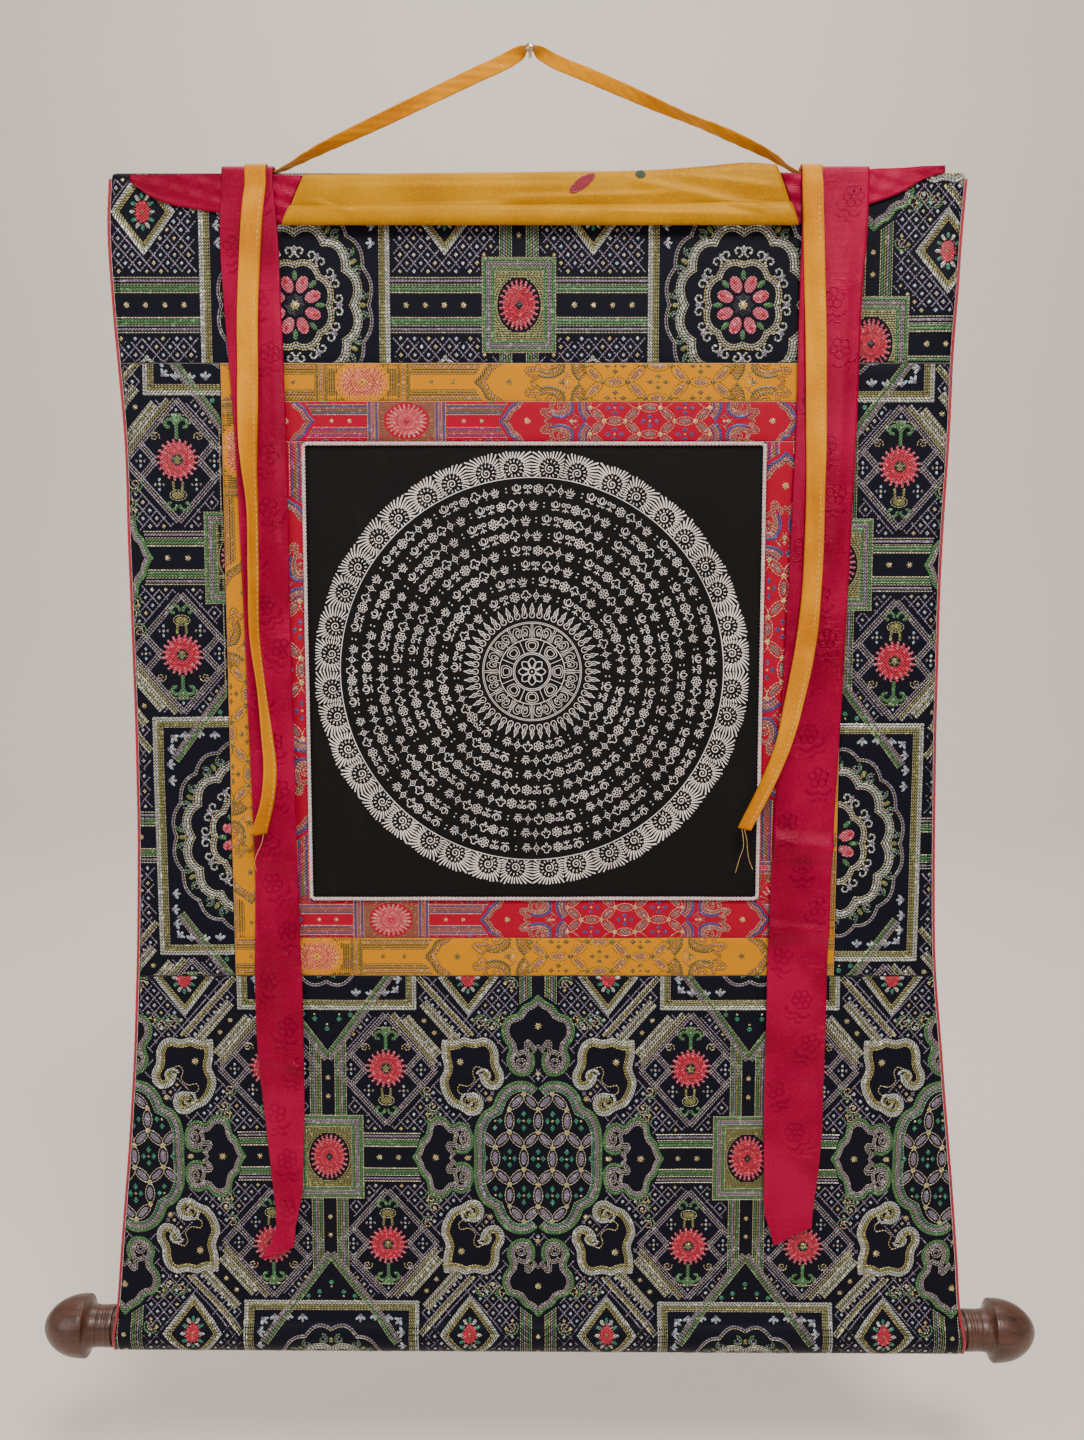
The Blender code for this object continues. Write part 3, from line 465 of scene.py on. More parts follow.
def smooth_curve(keys, values, at):
    """A smooth curve through a table's points (Catmull-Rom), for increasing keys."""
    keys = np.asarray(keys, float)
    values = np.asarray(values, float)
    slopes = np.gradient(values, keys)
    at = np.clip(at, keys[0], keys[-1])
    k = np.clip(np.searchsorted(keys, at) - 1, 0, len(keys) - 2)
    wide = keys[k + 1] - keys[k]
    t = (at - keys[k]) / wide
    return ((2 * t**3 - 3 * t**2 + 1) * values[k] + (t**3 - 2 * t**2 + t) * wide * slopes[k]
            + (3 * t**2 - 2 * t**3) * values[k + 1] + (t**3 - t**2) * wide * slopes[k + 1])


OUTLINE_UP = np.array(OUTLINE[::-1])


def left_edge(z):
    return smooth_curve(OUTLINE_UP[:, 0], OUTLINE_UP[:, 1], z)


def right_edge(z):
    return smooth_curve(OUTLINE_UP[:, 0], OUTLINE_UP[:, 2], z)


def swell_at(x, z):
    """How far the cloth bellies forward. It is held flat at the batten and at the roll."""
    total = 0.0
    for at_x, at_z, wide, tall, height in SWELLS:
        total = total + height * np.exp(-((x - at_x) / wide) ** 2 - ((z - at_z) / tall) ** 2)
    ripple = 0.0005 * np.sin(x * 61 + z * 17) * np.sin(z * 43 - x * 23 + 1.3)
    return (total + ripple) * ease((STRAIGHT - z) / 0.06) * ease((z - ROLL_CREASE) / 0.05)


def even_front(z):
    """Front of the cloth before its swells."""
    share = np.maximum(0.0, (STRAIGHT - z) / (STRAIGHT - ROLL_CREASE))
    return TOP_FRONT + (CREASE_FRONT - TOP_FRONT) * share


def cloth_front(x, z):
    return even_front(z) - swell_at(x, z)


def lean(x, z):
    """How far the rod's lean pulls the cloth down or up."""
    return ROD_LEAN * x * ease((FRAME_FOOT - z) / (FRAME_FOOT - ROLL_CREASE))


def make_path():
    """The section of the whole hanging: from the hem behind the batten, over it, down and round the
    rod. Columns: flat level, y, z of the cloth's middle."""
    centre = TOP_FOLD - PANEL / 2 - SLEEVE
    line = [(SLEEVE_Y + SLEEVE, z) for z in np.linspace(HEM_FOOT, centre, 6)[:-1]]
    for angle in np.linspace(0, math.pi, 25):
        line.append((SLEEVE_Y + SLEEVE * math.cos(angle), centre + SLEEVE * math.sin(angle)))
    line.append((TOP_FRONT + PANEL / 2, STRAIGHT))
    flat_from = len(line) - 1
    steps = np.linspace(STRAIGHT, ROLL_CREASE, 60)[1:]
    line += [(float(even_front(z)) + PANEL / 2, z) for z in steps]
    for degrees in np.linspace(FIRST_TURN, LAST_TURN, 190):
        angle = math.radians(degrees)
        radius = ROLL + (ROLL_INNER - ROLL) * float(ease((degrees - 270) / 100))
        line.append((ROD_Y - radius * math.sin(angle), ROD_Z + radius * math.cos(angle)))
    line = np.array(line)
    run = np.concatenate([[0], np.cumsum(np.hypot(*np.diff(line, axis=0).T))])
    level = STRAIGHT - (run - run[flat_from])
    last_flat = flat_from + len(steps)
    level[flat_from:last_flat + 1] = line[flat_from:last_flat + 1, 1]
    level[last_flat + 1:] = ROLL_CREASE - (run[last_flat + 1:] - run[last_flat])
    return level[::-1], line[::-1, 0], line[::-1, 1]


PATH_LEVEL, PATH_Y, PATH_Z = make_path()
PATH_TOP, PATH_END = PATH_LEVEL[-1], PATH_LEVEL[0]
SLOPE_Y = np.gradient(PATH_Y, PATH_LEVEL)
SLOPE_Z = np.gradient(PATH_Z, PATH_LEVEL)


def edge_level(level):
    """The level that sets the cloth's width: round the roll it widens a little."""
    return np.where(level > ROLL_CREASE, np.minimum(level, TOP_FOLD),
                    np.maximum(ROLL_CREASE + ROLL_SPREAD * (level - ROLL_CREASE), WIDEST))


def on_cloth(x, level, lift):
    """Points this far in front of the cloth's front face."""
    y = np.interp(level, PATH_LEVEL, PATH_Y)
    z = np.interp(level, PATH_LEVEL, PATH_Z)
    ny = -np.interp(level, PATH_LEVEL, SLOPE_Z)
    nz = np.interp(level, PATH_LEVEL, SLOPE_Y)
    size = np.hypot(ny, nz)
    out = lift + PANEL / 2
    y = y + ny / size * out - swell_at(x, level)
    z = z + nz / size * out + lean(x, np.maximum(level, ROLL_CREASE))
    return np.stack([x, y, z], -1)


# ================================================================ mesh helpers
def add_mesh(name, points, faces, materials, slot, node_name=None, smooth=True, face_slots=None, uv=None):
    """An object from points and faces, riding the one body."""
    mesh = bpy.data.meshes.new(name)
    mesh.from_pydata([tuple(p) for p in np.asarray(points, float).tolist()], [], [tuple(f) for f in faces])
    for material in materials:
        mesh.materials.append(material)
    if face_slots is not None:
        mesh.polygons.foreach_set("material_index", np.asarray(face_slots, np.int32))
    mesh.polygons.foreach_set("use_smooth", np.full(len(mesh.polygons), smooth))
    if uv is not None:
        layer = mesh.uv_layers.new(name="UVMap")
        corner = np.empty(len(mesh.loops), np.int32)
        mesh.loops.foreach_get("vertex_index", corner)
        layer.data.foreach_set("uv", np.asarray(uv, np.float32)[corner].ravel())
    mesh.update()
    made = bpy.data.objects.new(name, mesh)
    bpy.context.scene.collection.objects.link(made)
    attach(made, "root")
    if node_name:
        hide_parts(node_name)
    return made


def grid_faces(rows, columns, start=0, flip=False):
    i, j = np.meshgrid(np.arange(rows - 1), np.arange(columns - 1), indexing="ij")
    a = (start + i * columns + j).ravel()
    quad = np.stack([a, a + columns, a + columns + 1, a + 1], -1)
    return quad[:, ::-1] if flip else quad


def sheet_mesh(front, back):
    """Closed sheet between two grids of points. Rows run down and columns right."""
    rows, columns = front.shape[:2]
    count = rows * columns
    points = np.concatenate([front.reshape(-1, 3), back.reshape(-1, 3)])
    faces = [grid_faces(rows, columns), grid_faces(rows, columns, count, flip=True)]
    index = np.arange(count).reshape(rows, columns)
    rim = np.concatenate([index[:, 0], index[-1, 1:], index[-2::-1, -1], index[0, -2:0:-1]])
    after = np.roll(rim, -1)
    faces.append(np.stack([rim, rim + count, after + count, after], -1))
    return points, np.concatenate(faces)


def offset_sheet(middle, thickness):
    """Front and back grids about a grid of middle points."""
    across = np.gradient(middle, axis=1)
    down = np.gradient(middle, axis=0)
    normal = np.cross(down, across)
    normal /= np.linalg.norm(normal, axis=-1, keepdims=True) + 1e-12
    return middle + normal * thickness / 2, middle - normal * thickness / 2


def grid_uv(middle):
    """Flat coordinates in metres: along each row, and down the first column."""
    across = np.linalg.norm(np.diff(middle, axis=1), axis=-1)
    down = np.linalg.norm(np.diff(middle, axis=0), axis=-1)
    u = np.concatenate([np.zeros((len(middle), 1)), np.cumsum(across, axis=1)], 1)
    v = np.concatenate([[0], np.cumsum(down.mean(axis=1))])
    uv = np.stack([u, np.broadcast_to(v[:, None], u.shape)], -1).reshape(-1, 2)
    return np.concatenate([uv, uv])


def sheet_piece(name, middle, material, slot, node_name):
    """A silk sheet of one thickness about its middle surface, with flat coordinates in metres."""
    front, back = offset_sheet(middle, SILK)
    points, faces = sheet_mesh(front, back)
    made = add_mesh(name, points, faces, [material], slot, node_name, uv=grid_uv(middle))


def lines_between(a, b):
    """Even grid lines from a to b, closer together at both ends."""
    sign = 1 if b > a else -1
    count = max(3, round(abs(b - a) / PANEL_STEP))
    inner = np.linspace(a + sign * PANEL_STEP, b - sign * PANEL_STEP, count)
    near = [a, *[a + sign * trim for trim in END_STEPS]]
    far = [*[b - sign * trim for trim in END_STEPS[::-1]], b]
    return np.concatenate([near, inner, far])


# ================================================================ woven figures
# The brocade's design is drawn once, in millimetres, over a quarter of its repeat, and mirrored about
# its sides. The big medallion is at (0, 0), one square at (186, 0), the other at (0, 240), and the
# rosette at (186, 240).
REPEAT_U, REPEAT_V = 186.0, 240.0
THREAD_BASE = -0.00006       # a thread's edges, just under the cloth's face
THREAD_RISE = 0.00034        # and its ridge above it
WEAVE_MARGIN = 0.0004        # between the figures and a panel's edge
LARGE_FILL = 5               # a filled shape that reaches further than this gets rings
RIDGE_SIDES = ((0, 2), (2, 1), (1, 0))   # a ridge's rings are its two edges and its top


def straight_line(points, closed=False, step=5.8):
    """A many-cornered line with points added between its corners."""
    points = [np.asarray(p, float) for p in points]
    if closed:
        points.append(points[0])
    line = [points[0]]
    for a, b in zip(points, points[1:]):
        count = max(1, math.ceil(np.linalg.norm(b - a) / step))
        line += [a + (b - a) * k / count for k in range(1, count + 1)]
    return np.array(line)


def curved_line(points, closed=False, step=3.1):
    """A smooth line through these points."""
    points = np.asarray(points, float)
    if closed:
        points = np.concatenate([points[-2:], points, points[:3]])
    run = distance_along(points)
    first, last = (run[2], run[-3]) if closed else (0.0, run[-1])
    at = np.linspace(first, last, max(3, int((last - first) / step) + 1))
    return np.stack([smooth_curve(run, points[:, k], at) for k in range(2)], -1)


def side_of(line):
    """Unit directions to the right of a line, lengthened at its corners."""
    ahead = np.diff(line, axis=0)
    ahead /= np.linalg.norm(ahead, axis=1, keepdims=True) + 1e-9
    before = np.concatenate([ahead[:1], ahead])
    after = np.concatenate([ahead, ahead[-1:]])
    if np.allclose(line[0], line[-1]):
        before[0], after[-1] = ahead[-1], ahead[0]
    both = before + after
    both /= np.maximum(0.6, (both * before).sum(1))[:, None]
    return np.stack([both[:, 1], -both[:, 0]], -1)


def shifted(line, distance):
    return line + side_of(line) * distance


def ellipse(centre, half_u, half_v, count=14, turn=0.0):
    angle = np.linspace(0, 2 * math.pi, count, endpoint=False)
    u, v = half_u * np.cos(angle), half_v * np.sin(angle)
    return np.stack([centre[0] + u * math.cos(turn) - v * math.sin(turn),
                     centre[1] + u * math.sin(turn) + v * math.cos(turn)], -1)


def petalled(centre, outer_u, outer_v, inner, petals, start=0.0):
    """A flower's or star's outline: this many points, each with a hollow beside it."""
    angle = np.linspace(0, 2 * math.pi, petals * 2, endpoint=False) + start
    share = np.where(np.arange(petals * 2) % 2 == 0, 1.0, inner)
    return np.stack([centre[0] + outer_u * share * np.cos(angle),
                     centre[1] + outer_v * share * np.sin(angle)], -1)


def spiral(centre, radius, start, turns, hand, end):
    angle = np.linspace(0, 2 * math.pi * turns, int(12 * turns) + 2)
    size = radius * (1 - (1 - end) * angle / angle[-1])
    angle = math.radians(start) + hand * angle
    return np.stack([centre[0] + size * np.cos(angle), centre[1] + size * np.sin(angle)], -1)


def within(points, outline):
    """Which points are inside an outline."""
    inside = np.zeros(len(points), bool)
    for (ax, ay), (bx, by) in zip(outline, np.roll(outline, -1, 0)):
        crosses = (ay > points[:, 1]) != (by > points[:, 1])
        slope = (bx - ax) / (by - ay) if by != ay else 0.0
        inside ^= crosses & (points[:, 0] < ax + (points[:, 1] - ay) * slope)
    return inside


class Design:
    """Strokes and filled shapes, each with its thread."""

    def __init__(self):
        self.strokes = []
        self.fills = []
        self.kept_clear = []

    def stroke(self, colour, width, line, rise=1.0):
        self.strokes.append((colour, width, np.asarray(line, float), rise))

    def fill(self, colour, outline, rise=1.0):
        self.fills.append((colour, np.asarray(outline, float), rise))

    def bands(self, line, rows, rise=1.0, place=None):
        """Side by side threads along a line: distance to its right, width, thread."""
        for distance, width, colour in rows:
            row = shifted(line, distance)
            self.stroke(colour, width, place(row) if place else row, rise)

    def star(self, u, v, size=3.6):
        self.fill("gold", petalled((u, v), size, size, 0.5, 8, 0.2))
        self.fill("cream", ellipse((u, v), size * 0.3, size * 0.3, 6), 1.6)

    def dots(self, u, v, size=2.6):
        """Four pale dots round a fifth."""
        places = ((0, 1, "blue"), (0, -1, "blue"), (1, 0, "mauve"), (-1, 0, "mauve"), (0, 0, "cream"))
        for du, dv, colour in places:
            at = (u + du * size * 1.35, v + dv * size * 1.55)
            self.fill(colour, ellipse(at, size * 0.5, size * 0.62, 6))

    def clear(self, outline):
        self.kept_clear.append(np.asarray(outline, float))

    def is_free(self, points):
        free = np.ones(len(points), bool)
        for outline in self.kept_clear:
            free &= ~within(points, outline)
        return free


EDGE_GREEN = [(1.7, 3.2, "green"), (3.9, 0.8, "cream"), (5.5, 2.2, "mauve"), (7.0, 0.7, "cream")]


LATTICE_U, LATTICE_V = 25.4, 34.7   # the pitch of the medallion's lattice of petals


def draw_medallion(d):
    """A lobed rim round a lattice of petals, studs and squares."""
    top = curved_line([(0, 64.5), (6, 69.5), (17, 71.5), (29, 67), (37, 57.5), (40.5, 48.5)])
    side = curved_line([(40.5, 48.5), (49, 43), (55, 32), (57.5, 16), (57.0, 0)])
    rim = [*EDGE_GREEN, (8.6, 1.6, "teal"), (10.0, 0.7, "cream")]
    d.bands(np.concatenate([top, side[1:]]), rim, 1.3)
    outline = np.concatenate([top, side[1:], [(0, 0)]])
    d.clear(np.concatenate([top, side[1:], [(57, -9), (-9, -9), (-9, 64)]]) * 1.04)
    inner = outline * 0.83
    inner[-1] = (-5, -5)
    room = np.concatenate([[(-5, 56)], inner[:-1], [(50, -5), (-5, -5)]])
    slant = math.radians(42.4)
    for row in range(3):
        for column in range(-1, 3):
            cu = LATTICE_U * (column + 0.5 * (row % 2))
            cv = LATTICE_V * row
            for ou, ov, turn in ((LATTICE_U / 2, 0, 0.0), (LATTICE_U / 4, 17.4, slant),
                                 (-LATTICE_U / 4, 17.4, -slant)):
                at = (cu + ou, cv + ov)
                if within(np.array([at]), room)[0] or abs(at[1]) < 1 and at[0] < 44:
                    d.fill("mauve", ellipse(at, 3.2, 7.6, 10, turn), 0.8)
                    d.stroke("cream", 0.8, closed(ellipse(at, 4.1, 8.9, 12, turn)), 0.9)
            for at in ((cu + LATTICE_U / 2, cv + 10.4), (cu, cv + 24.3)):
                if within(np.array([at]), room)[0]:
                    d.fill("gold", ellipse(at, 2.6, 2.6, 8), 1.5)
            for ou, ov in ((0, 6.4), (0, -6.4), (4.4, 0), (-4.4, 0)):
                at = (cu + ou, cv + ov)
                if within(np.array([(max(at[0], 0.1), max(at[1], 0.1))]), room)[0]:
                    d.fill("teal", ellipse(at, 2.6, 3.4, 4), 1.0)
            if within(np.array([(max(cu, 0.1), max(cv, 0.1))]), room)[0]:
                d.fill("gold", ellipse((cu, cv), 1.3, 1.3, 6), 1.4)
    for u, v in ((0, 77.5), (43, 55), (62, 0)):
        d.star(u, v)


def draw_trefoil(d, place):
    """A three-lobed cloud head with curled feet. It is drawn upright and put where it goes."""
    head = curved_line([(0, 150), (7, 143.5), (14, 139.5), (18.5, 133), (27, 130), (32.5, 120), (31, 108.5),
                        (26, 101), (28.5, 91), (25, 80.5), (16.5, 75), (8, 76), (3.4, 82.5), (2.6, 92),
                        (4.5, 98)])
    d.bands(head, EDGE_GREEN, 1.2, place)
    d.stroke("cream", 0.8, place(spiral((15.5, 87), 5.6, -120, 1.15, -1, 0.45)), 1.2)
    d.stroke("mauve", 1.6, place(spiral((15.5, 87), 3.6, -120, 1.0, -1, 0.3)), 1.1)
    arch = curved_line([(20.5, 95), (16.5, 98.5), (12, 99), (12, 106), (8.5, 108.5), (5, 105), (3, 101.5),
                        (0, 104)])
    d.bands(arch, [(0, 0.8, "cream"), (-1.8, 1.8, "mauve"), (-3.4, 0.7, "cream")], 1.2, place)
    d.clear(place(np.concatenate([head[:-2], [(-6, 80), (-6, 152)]])))
    star = place(np.array([(0.0, 121.0)]))[0]
    d.star(*star, 4.2)


def draw_cloud(d):
    """The silver cloud head that points to the corner."""
    upper = curved_line([(84.5, 108.5), (74, 107.5), (66, 111), (57, 109), (48, 111), (39, 106.5),
                         (34.5, 97), (34, 87), (29.8, 78), (31, 68), (37, 62.5), (45, 63.5), (51, 69.5),
                         (53, 77)])
    lower = curved_line([(84.5, 108.5), (85.5, 93), (83.5, 83), (87.5, 71), (84.5, 57.5), (77, 47),
                         (69, 43.5), (61, 38.5), (52.5, 40), (48, 47), (49, 55.5), (56, 61), (64, 60)])
    rows = [(1.6, 2.3, "silver"), (3.9, 2.3, "silver"), (6.1, 2.4, "olive"), (7.8, 0.9, "gold")]
    d.bands(upper, [(-a, b, c) for a, b, c in rows], 1.35)
    d.bands(lower, rows, 1.35)
    d.stroke("silver", 2.6, spiral((47.5, 75), 7.0, 20, 0.7, 1, 0.5), 1.3)
    d.stroke("olive", 1.8, spiral((46.5, 75), 3.8, 20, 0.8, 1, 0.4), 1.2)
    d.stroke("silver", 2.6, spiral((62, 52.5), 7.0, 75, 0.7, -1, 0.5), 1.3)
    d.stroke("olive", 1.8, spiral((62, 51.5), 3.8, 75, 0.8, -1, 0.4), 1.2)
    vein = curved_line([(49, 82), (55, 84), (58, 79), (56, 72), (62, 66), (70, 67), (71, 61), (66, 58)])
    d.stroke("gold", 0.9, vein, 1.2)
    d.clear(np.concatenate([upper, lower[::-1]]))
    d.star(69, 88, 4.4)


def draw_bars(d):
    """Straight bands between the figures."""
    diagonal = straight_line([(80, 101), (109, 135)])
    rows = [(6.6, 0.9, "cream"), (8.2, 1.9, "silver"), (10.4, 2.0, "olive"), (12.5, 1.7, "silver"),
            (14.2, 0.8, "gold")]
    for side in (1, -1):
        d.bands(diagonal, [(side * a, b, c) for a, b, c in rows])
        d.bands(straight_line([(89, 88), (127, 133)] if side > 0 else [(58, 114), (104, 166)]),
                [(0, 1.8, "silver"), (2.2, 2.0, "olive"), (4.2, 0.9, "cream")])
    d.clear([(79, 112), (90, 101), (116, 131), (104, 142)])
    d.star(91.5, 114.5, 3.0)
    d.star(100.5, 125.5, 3.0)
    rows = [(10.2, 1.2, "cream"), (12.6, 2.6, "green"), (15.0, 2.0, "green"), (16.8, 0.8, "cream"),
            (19.6, 2.2, "mauve"), (22.2, 1.0, "cream")]
    for v, width, colour in rows:
        d.stroke(colour, width, straight_line([(104 + max(0, 6 - v * 0.25), v), (155, v)]))
        d.stroke(colour, width, straight_line([(31, 240 - v), (107, 240 - v)]))
    d.clear([(106, -5), (155, -5), (155, 24), (106, 24)])
    d.clear([(31, 216), (107, 216), (107, 245), (31, 245)])
    for u in (124, 141):
        d.star(u, 0, 3.4)
    for u in (46, 62, 78, 94):
        d.star(u, 240, 3.4)
    columns = [(6.2, 0.9, "cream"), (8.0, 1.9, "green"), (10.1, 1.7, "olive"), (12.2, 1.9, "mauve"),
               (14.2, 1.6, "green"), (15.9, 0.8, "cream")]
    for u, width, colour in columns:
        d.stroke(colour, width, straight_line([(186 - u, 39), (186 - u, 90 + u * 1.35)]))
        d.stroke(colour, width, straight_line([(u, 152 - u * 0.7), (u, 201)]))
    d.clear([(169, 39), (191, 39), (191, 88), (169, 112)])
    d.clear([(-5, 142), (17, 138), (17, 201), (-5, 201)])
    for v in (56, 73):
        d.star(186, v, 3.0)
    for v in (166, 184):
        d.star(0, v, 3.0)
    chevron = straight_line([(126, 172), (186, 91)])
    d.bands(chevron, [(-3.6, 0.9, "cream"), (-1.8, 2.4, "green"), (0.2, 0.8, "cream"), (1.9, 2.2, "mauve"),
                      (3.7, 0.8, "cream")], 1.6)
    d.clear([(150, 134), (186, 88), (192, 88), (192, 140)])
    for u, v in ((175, 127), (186, 118), (165, 131)):
        d.fill("teal", ellipse((u, v), 2.6, 2.6, 6))
        d.fill("gold", ellipse((u, v + 4.2), 1.2, 1.2, 6))


def draw_square(d, cu, cv, in_u, in_v):
    """A framed flower. in_u and in_v point from its centre into the quarter."""
    def corner(grow):
        return [(cu + in_u * (31 - grow), cv), (cu + in_u * (31 - grow), cv + in_v * (39 - grow)),
                (cu, cv + in_v * (39 - grow))]

    for grow, width, colour in ((0.6, 0.9, "cream"), (2.3, 2.6, "green"), (4.2, 0.8, "cream"),
                                (5.9, 2.2, "mauve"), (7.6, 0.8, "cream"), (9.3, 2.4, "green"),
                                (10.9, 0.8, "cream")):
        d.stroke(colour, width, straight_line(corner(grow)), 1.2)
    d.clear([(cu + in_u * 32, cv - in_v * 9), (cu + in_u * 32, cv + in_v * 40),
             (cu - in_u * 9, cv + in_v * 40), (cu - in_u * 9, cv - in_v * 9)])
    for v in np.arange(0, 27.5, 1.9):
        start = 18 * math.sqrt(max(0, 1 - (v / 22.5) ** 2))
        level = cv + in_v * v
        d.stroke("olive", 1.9, straight_line([(cu + in_u * start, level), (cu + in_u * 19.8, level)]), 0.6)
    draw_bloom(d, cu, cv, 16.5, 20.5, 24)
    d.fill("navy", ellipse((cu, cv), 5.6, 6.8, 4), 2.6)
    d.fill("cream", ellipse((cu, cv), 2.0, 2.4, 6), 3.4)


def draw_bloom(d, cu, cv, half_u, half_v, petals):
    """A red flower with a fringe of paler petals."""
    d.fill("red", petalled((cu, cv), half_u * 0.97, half_v * 0.97, 0.9, petals), 1.1)
    for k in range(petals):
        angle = 2 * math.pi * (k + 0.5) / petals
        reach = np.array([0.72 if k % 2 else 0.6, 1.0])
        d.stroke("pink", half_u * 0.13, np.stack([cu + half_u * reach * math.cos(angle),
                                                   cv + half_v * reach * math.sin(angle)], -1), 1.5)
        reach = np.array([0.36, 0.5])
        d.stroke("pink", half_u * 0.06, np.stack([cu + half_u * reach * math.cos(angle),
                                                  cv + half_v * reach * math.sin(angle)], -1), 2.3)


# The lotus's curls: thread, width, place beside its middle, radius, start, turns, way round, end share.
LOTUS_CURLS = [
    ("green", 3.0, 6.0, 111.5, 5.0, 180, 0.8, -1, 0.45), ("gold", 0.8, 6, 113, 6.6, 170, 0.5, -1, 0.8),
    ("green", 2.8, 6, 44, 4.8, 170, 0.8, 1, 0.45), ("gold", 0.9, 18.5, 101, 4.4, 200, 1.1, -1, 0.3),
    ("mauve", 1.3, 20, 103, 2.4, 0, 0.9, 1, 0.5),
]


def draw_lotus(d):
    """A lozenge lattice round a flower on an urn, with curled leaves."""
    cu, cv = 134.5, 81.0
    half_u, half_v = 44.0, 50.5
    hub = ellipse((cu, cv), 17.5, 17.5, 20)
    stem = [(cu - 10, 92), (cu + 10, 92), (cu + 10, 122), (cu - 10, 122)]
    urn = [(cu - 11, 34), (cu + 11, 34), (cu + 11, 72), (cu - 11, 72)]
    for k in (-1, -0.42, 0.42, 1):
        for hand in (1, -1):
            span = [(half_u * (k + t) / 2, half_v * (k - t) / 2 * hand) for t in (-1, 1)]
            line = straight_line([(cu + u, cv + v) for u, v in span], step=2.6)
            for distance, width, colour in ((-2.0, 1.5, "mauve"), (0, 0.8, "cream"), (2.0, 1.5, "mauve")):
                row = shifted(line, distance)
                free = ~within(row, hub) & ~within(row, np.array(stem)) & ~within(row, np.array(urn))
                if abs(k) == 1:
                    free[:] = True
                for run in stretches(free):
                    d.stroke(colour, width, row[run], 0.9)
    d.clear([(cu - half_u - 5, cv), (cu, cv + half_v + 6), (cu + half_u + 5, cv), (cu, cv - half_v - 6)])
    draw_bloom(d, cu, cv + 1, 17.5, 17.5, 20)
    d.fill("navy", ellipse((cu, cv + 1), 8.0, 7.8, 12), 2.2)
    d.fill("olive", petalled((cu, cv + 1), 7.0, 6.8, 0.6, 5, math.pi / 2), 3.2)
    d.fill("gold", ellipse((cu, cv - 1), 2.4, 2.0, 6), 4.4)
    d.stroke("green", 3.4, straight_line([(cu, 99), (cu, 113)]))
    d.fill("green", petalled((cu, 117), 5.5, 4.6, 0.7, 6), 1.3)
    for hand in (1, -1):
        for colour, width, u, v, radius, start, turns, way, end in LOTUS_CURLS[:3]:
            curl = spiral((cu + u, v), radius, start, turns, way, end)
            d.stroke(colour, width, [(cu + hand * (u - cu), v) for u, v in curl])
        d.stroke("olive", 2.4, straight_line([(cu + hand * 4, 64), (cu + hand * 3.4, 55)]))
        for colour, width, u, v, radius, start, turns, way, end in LOTUS_CURLS[3:]:
            curl = spiral((cu + u, v), radius, start, turns, way, end)
            d.stroke(colour, width, [(cu + hand * (u - cu), v) for u, v in curl])
    d.fill("olive", ellipse((cu, 52.5), 6.2, 3.6, 12), 1.1)
    d.stroke("cream", 0.8, closed(ellipse((cu, 52.5), 7.0, 4.4, 14)), 1.2)
    for du, dv in ((-31, 0), (31, 0), (-15.5, -19.5), (15.5, -19.5), (0, 38)):
        d.dots(cu + du, cv + dv)


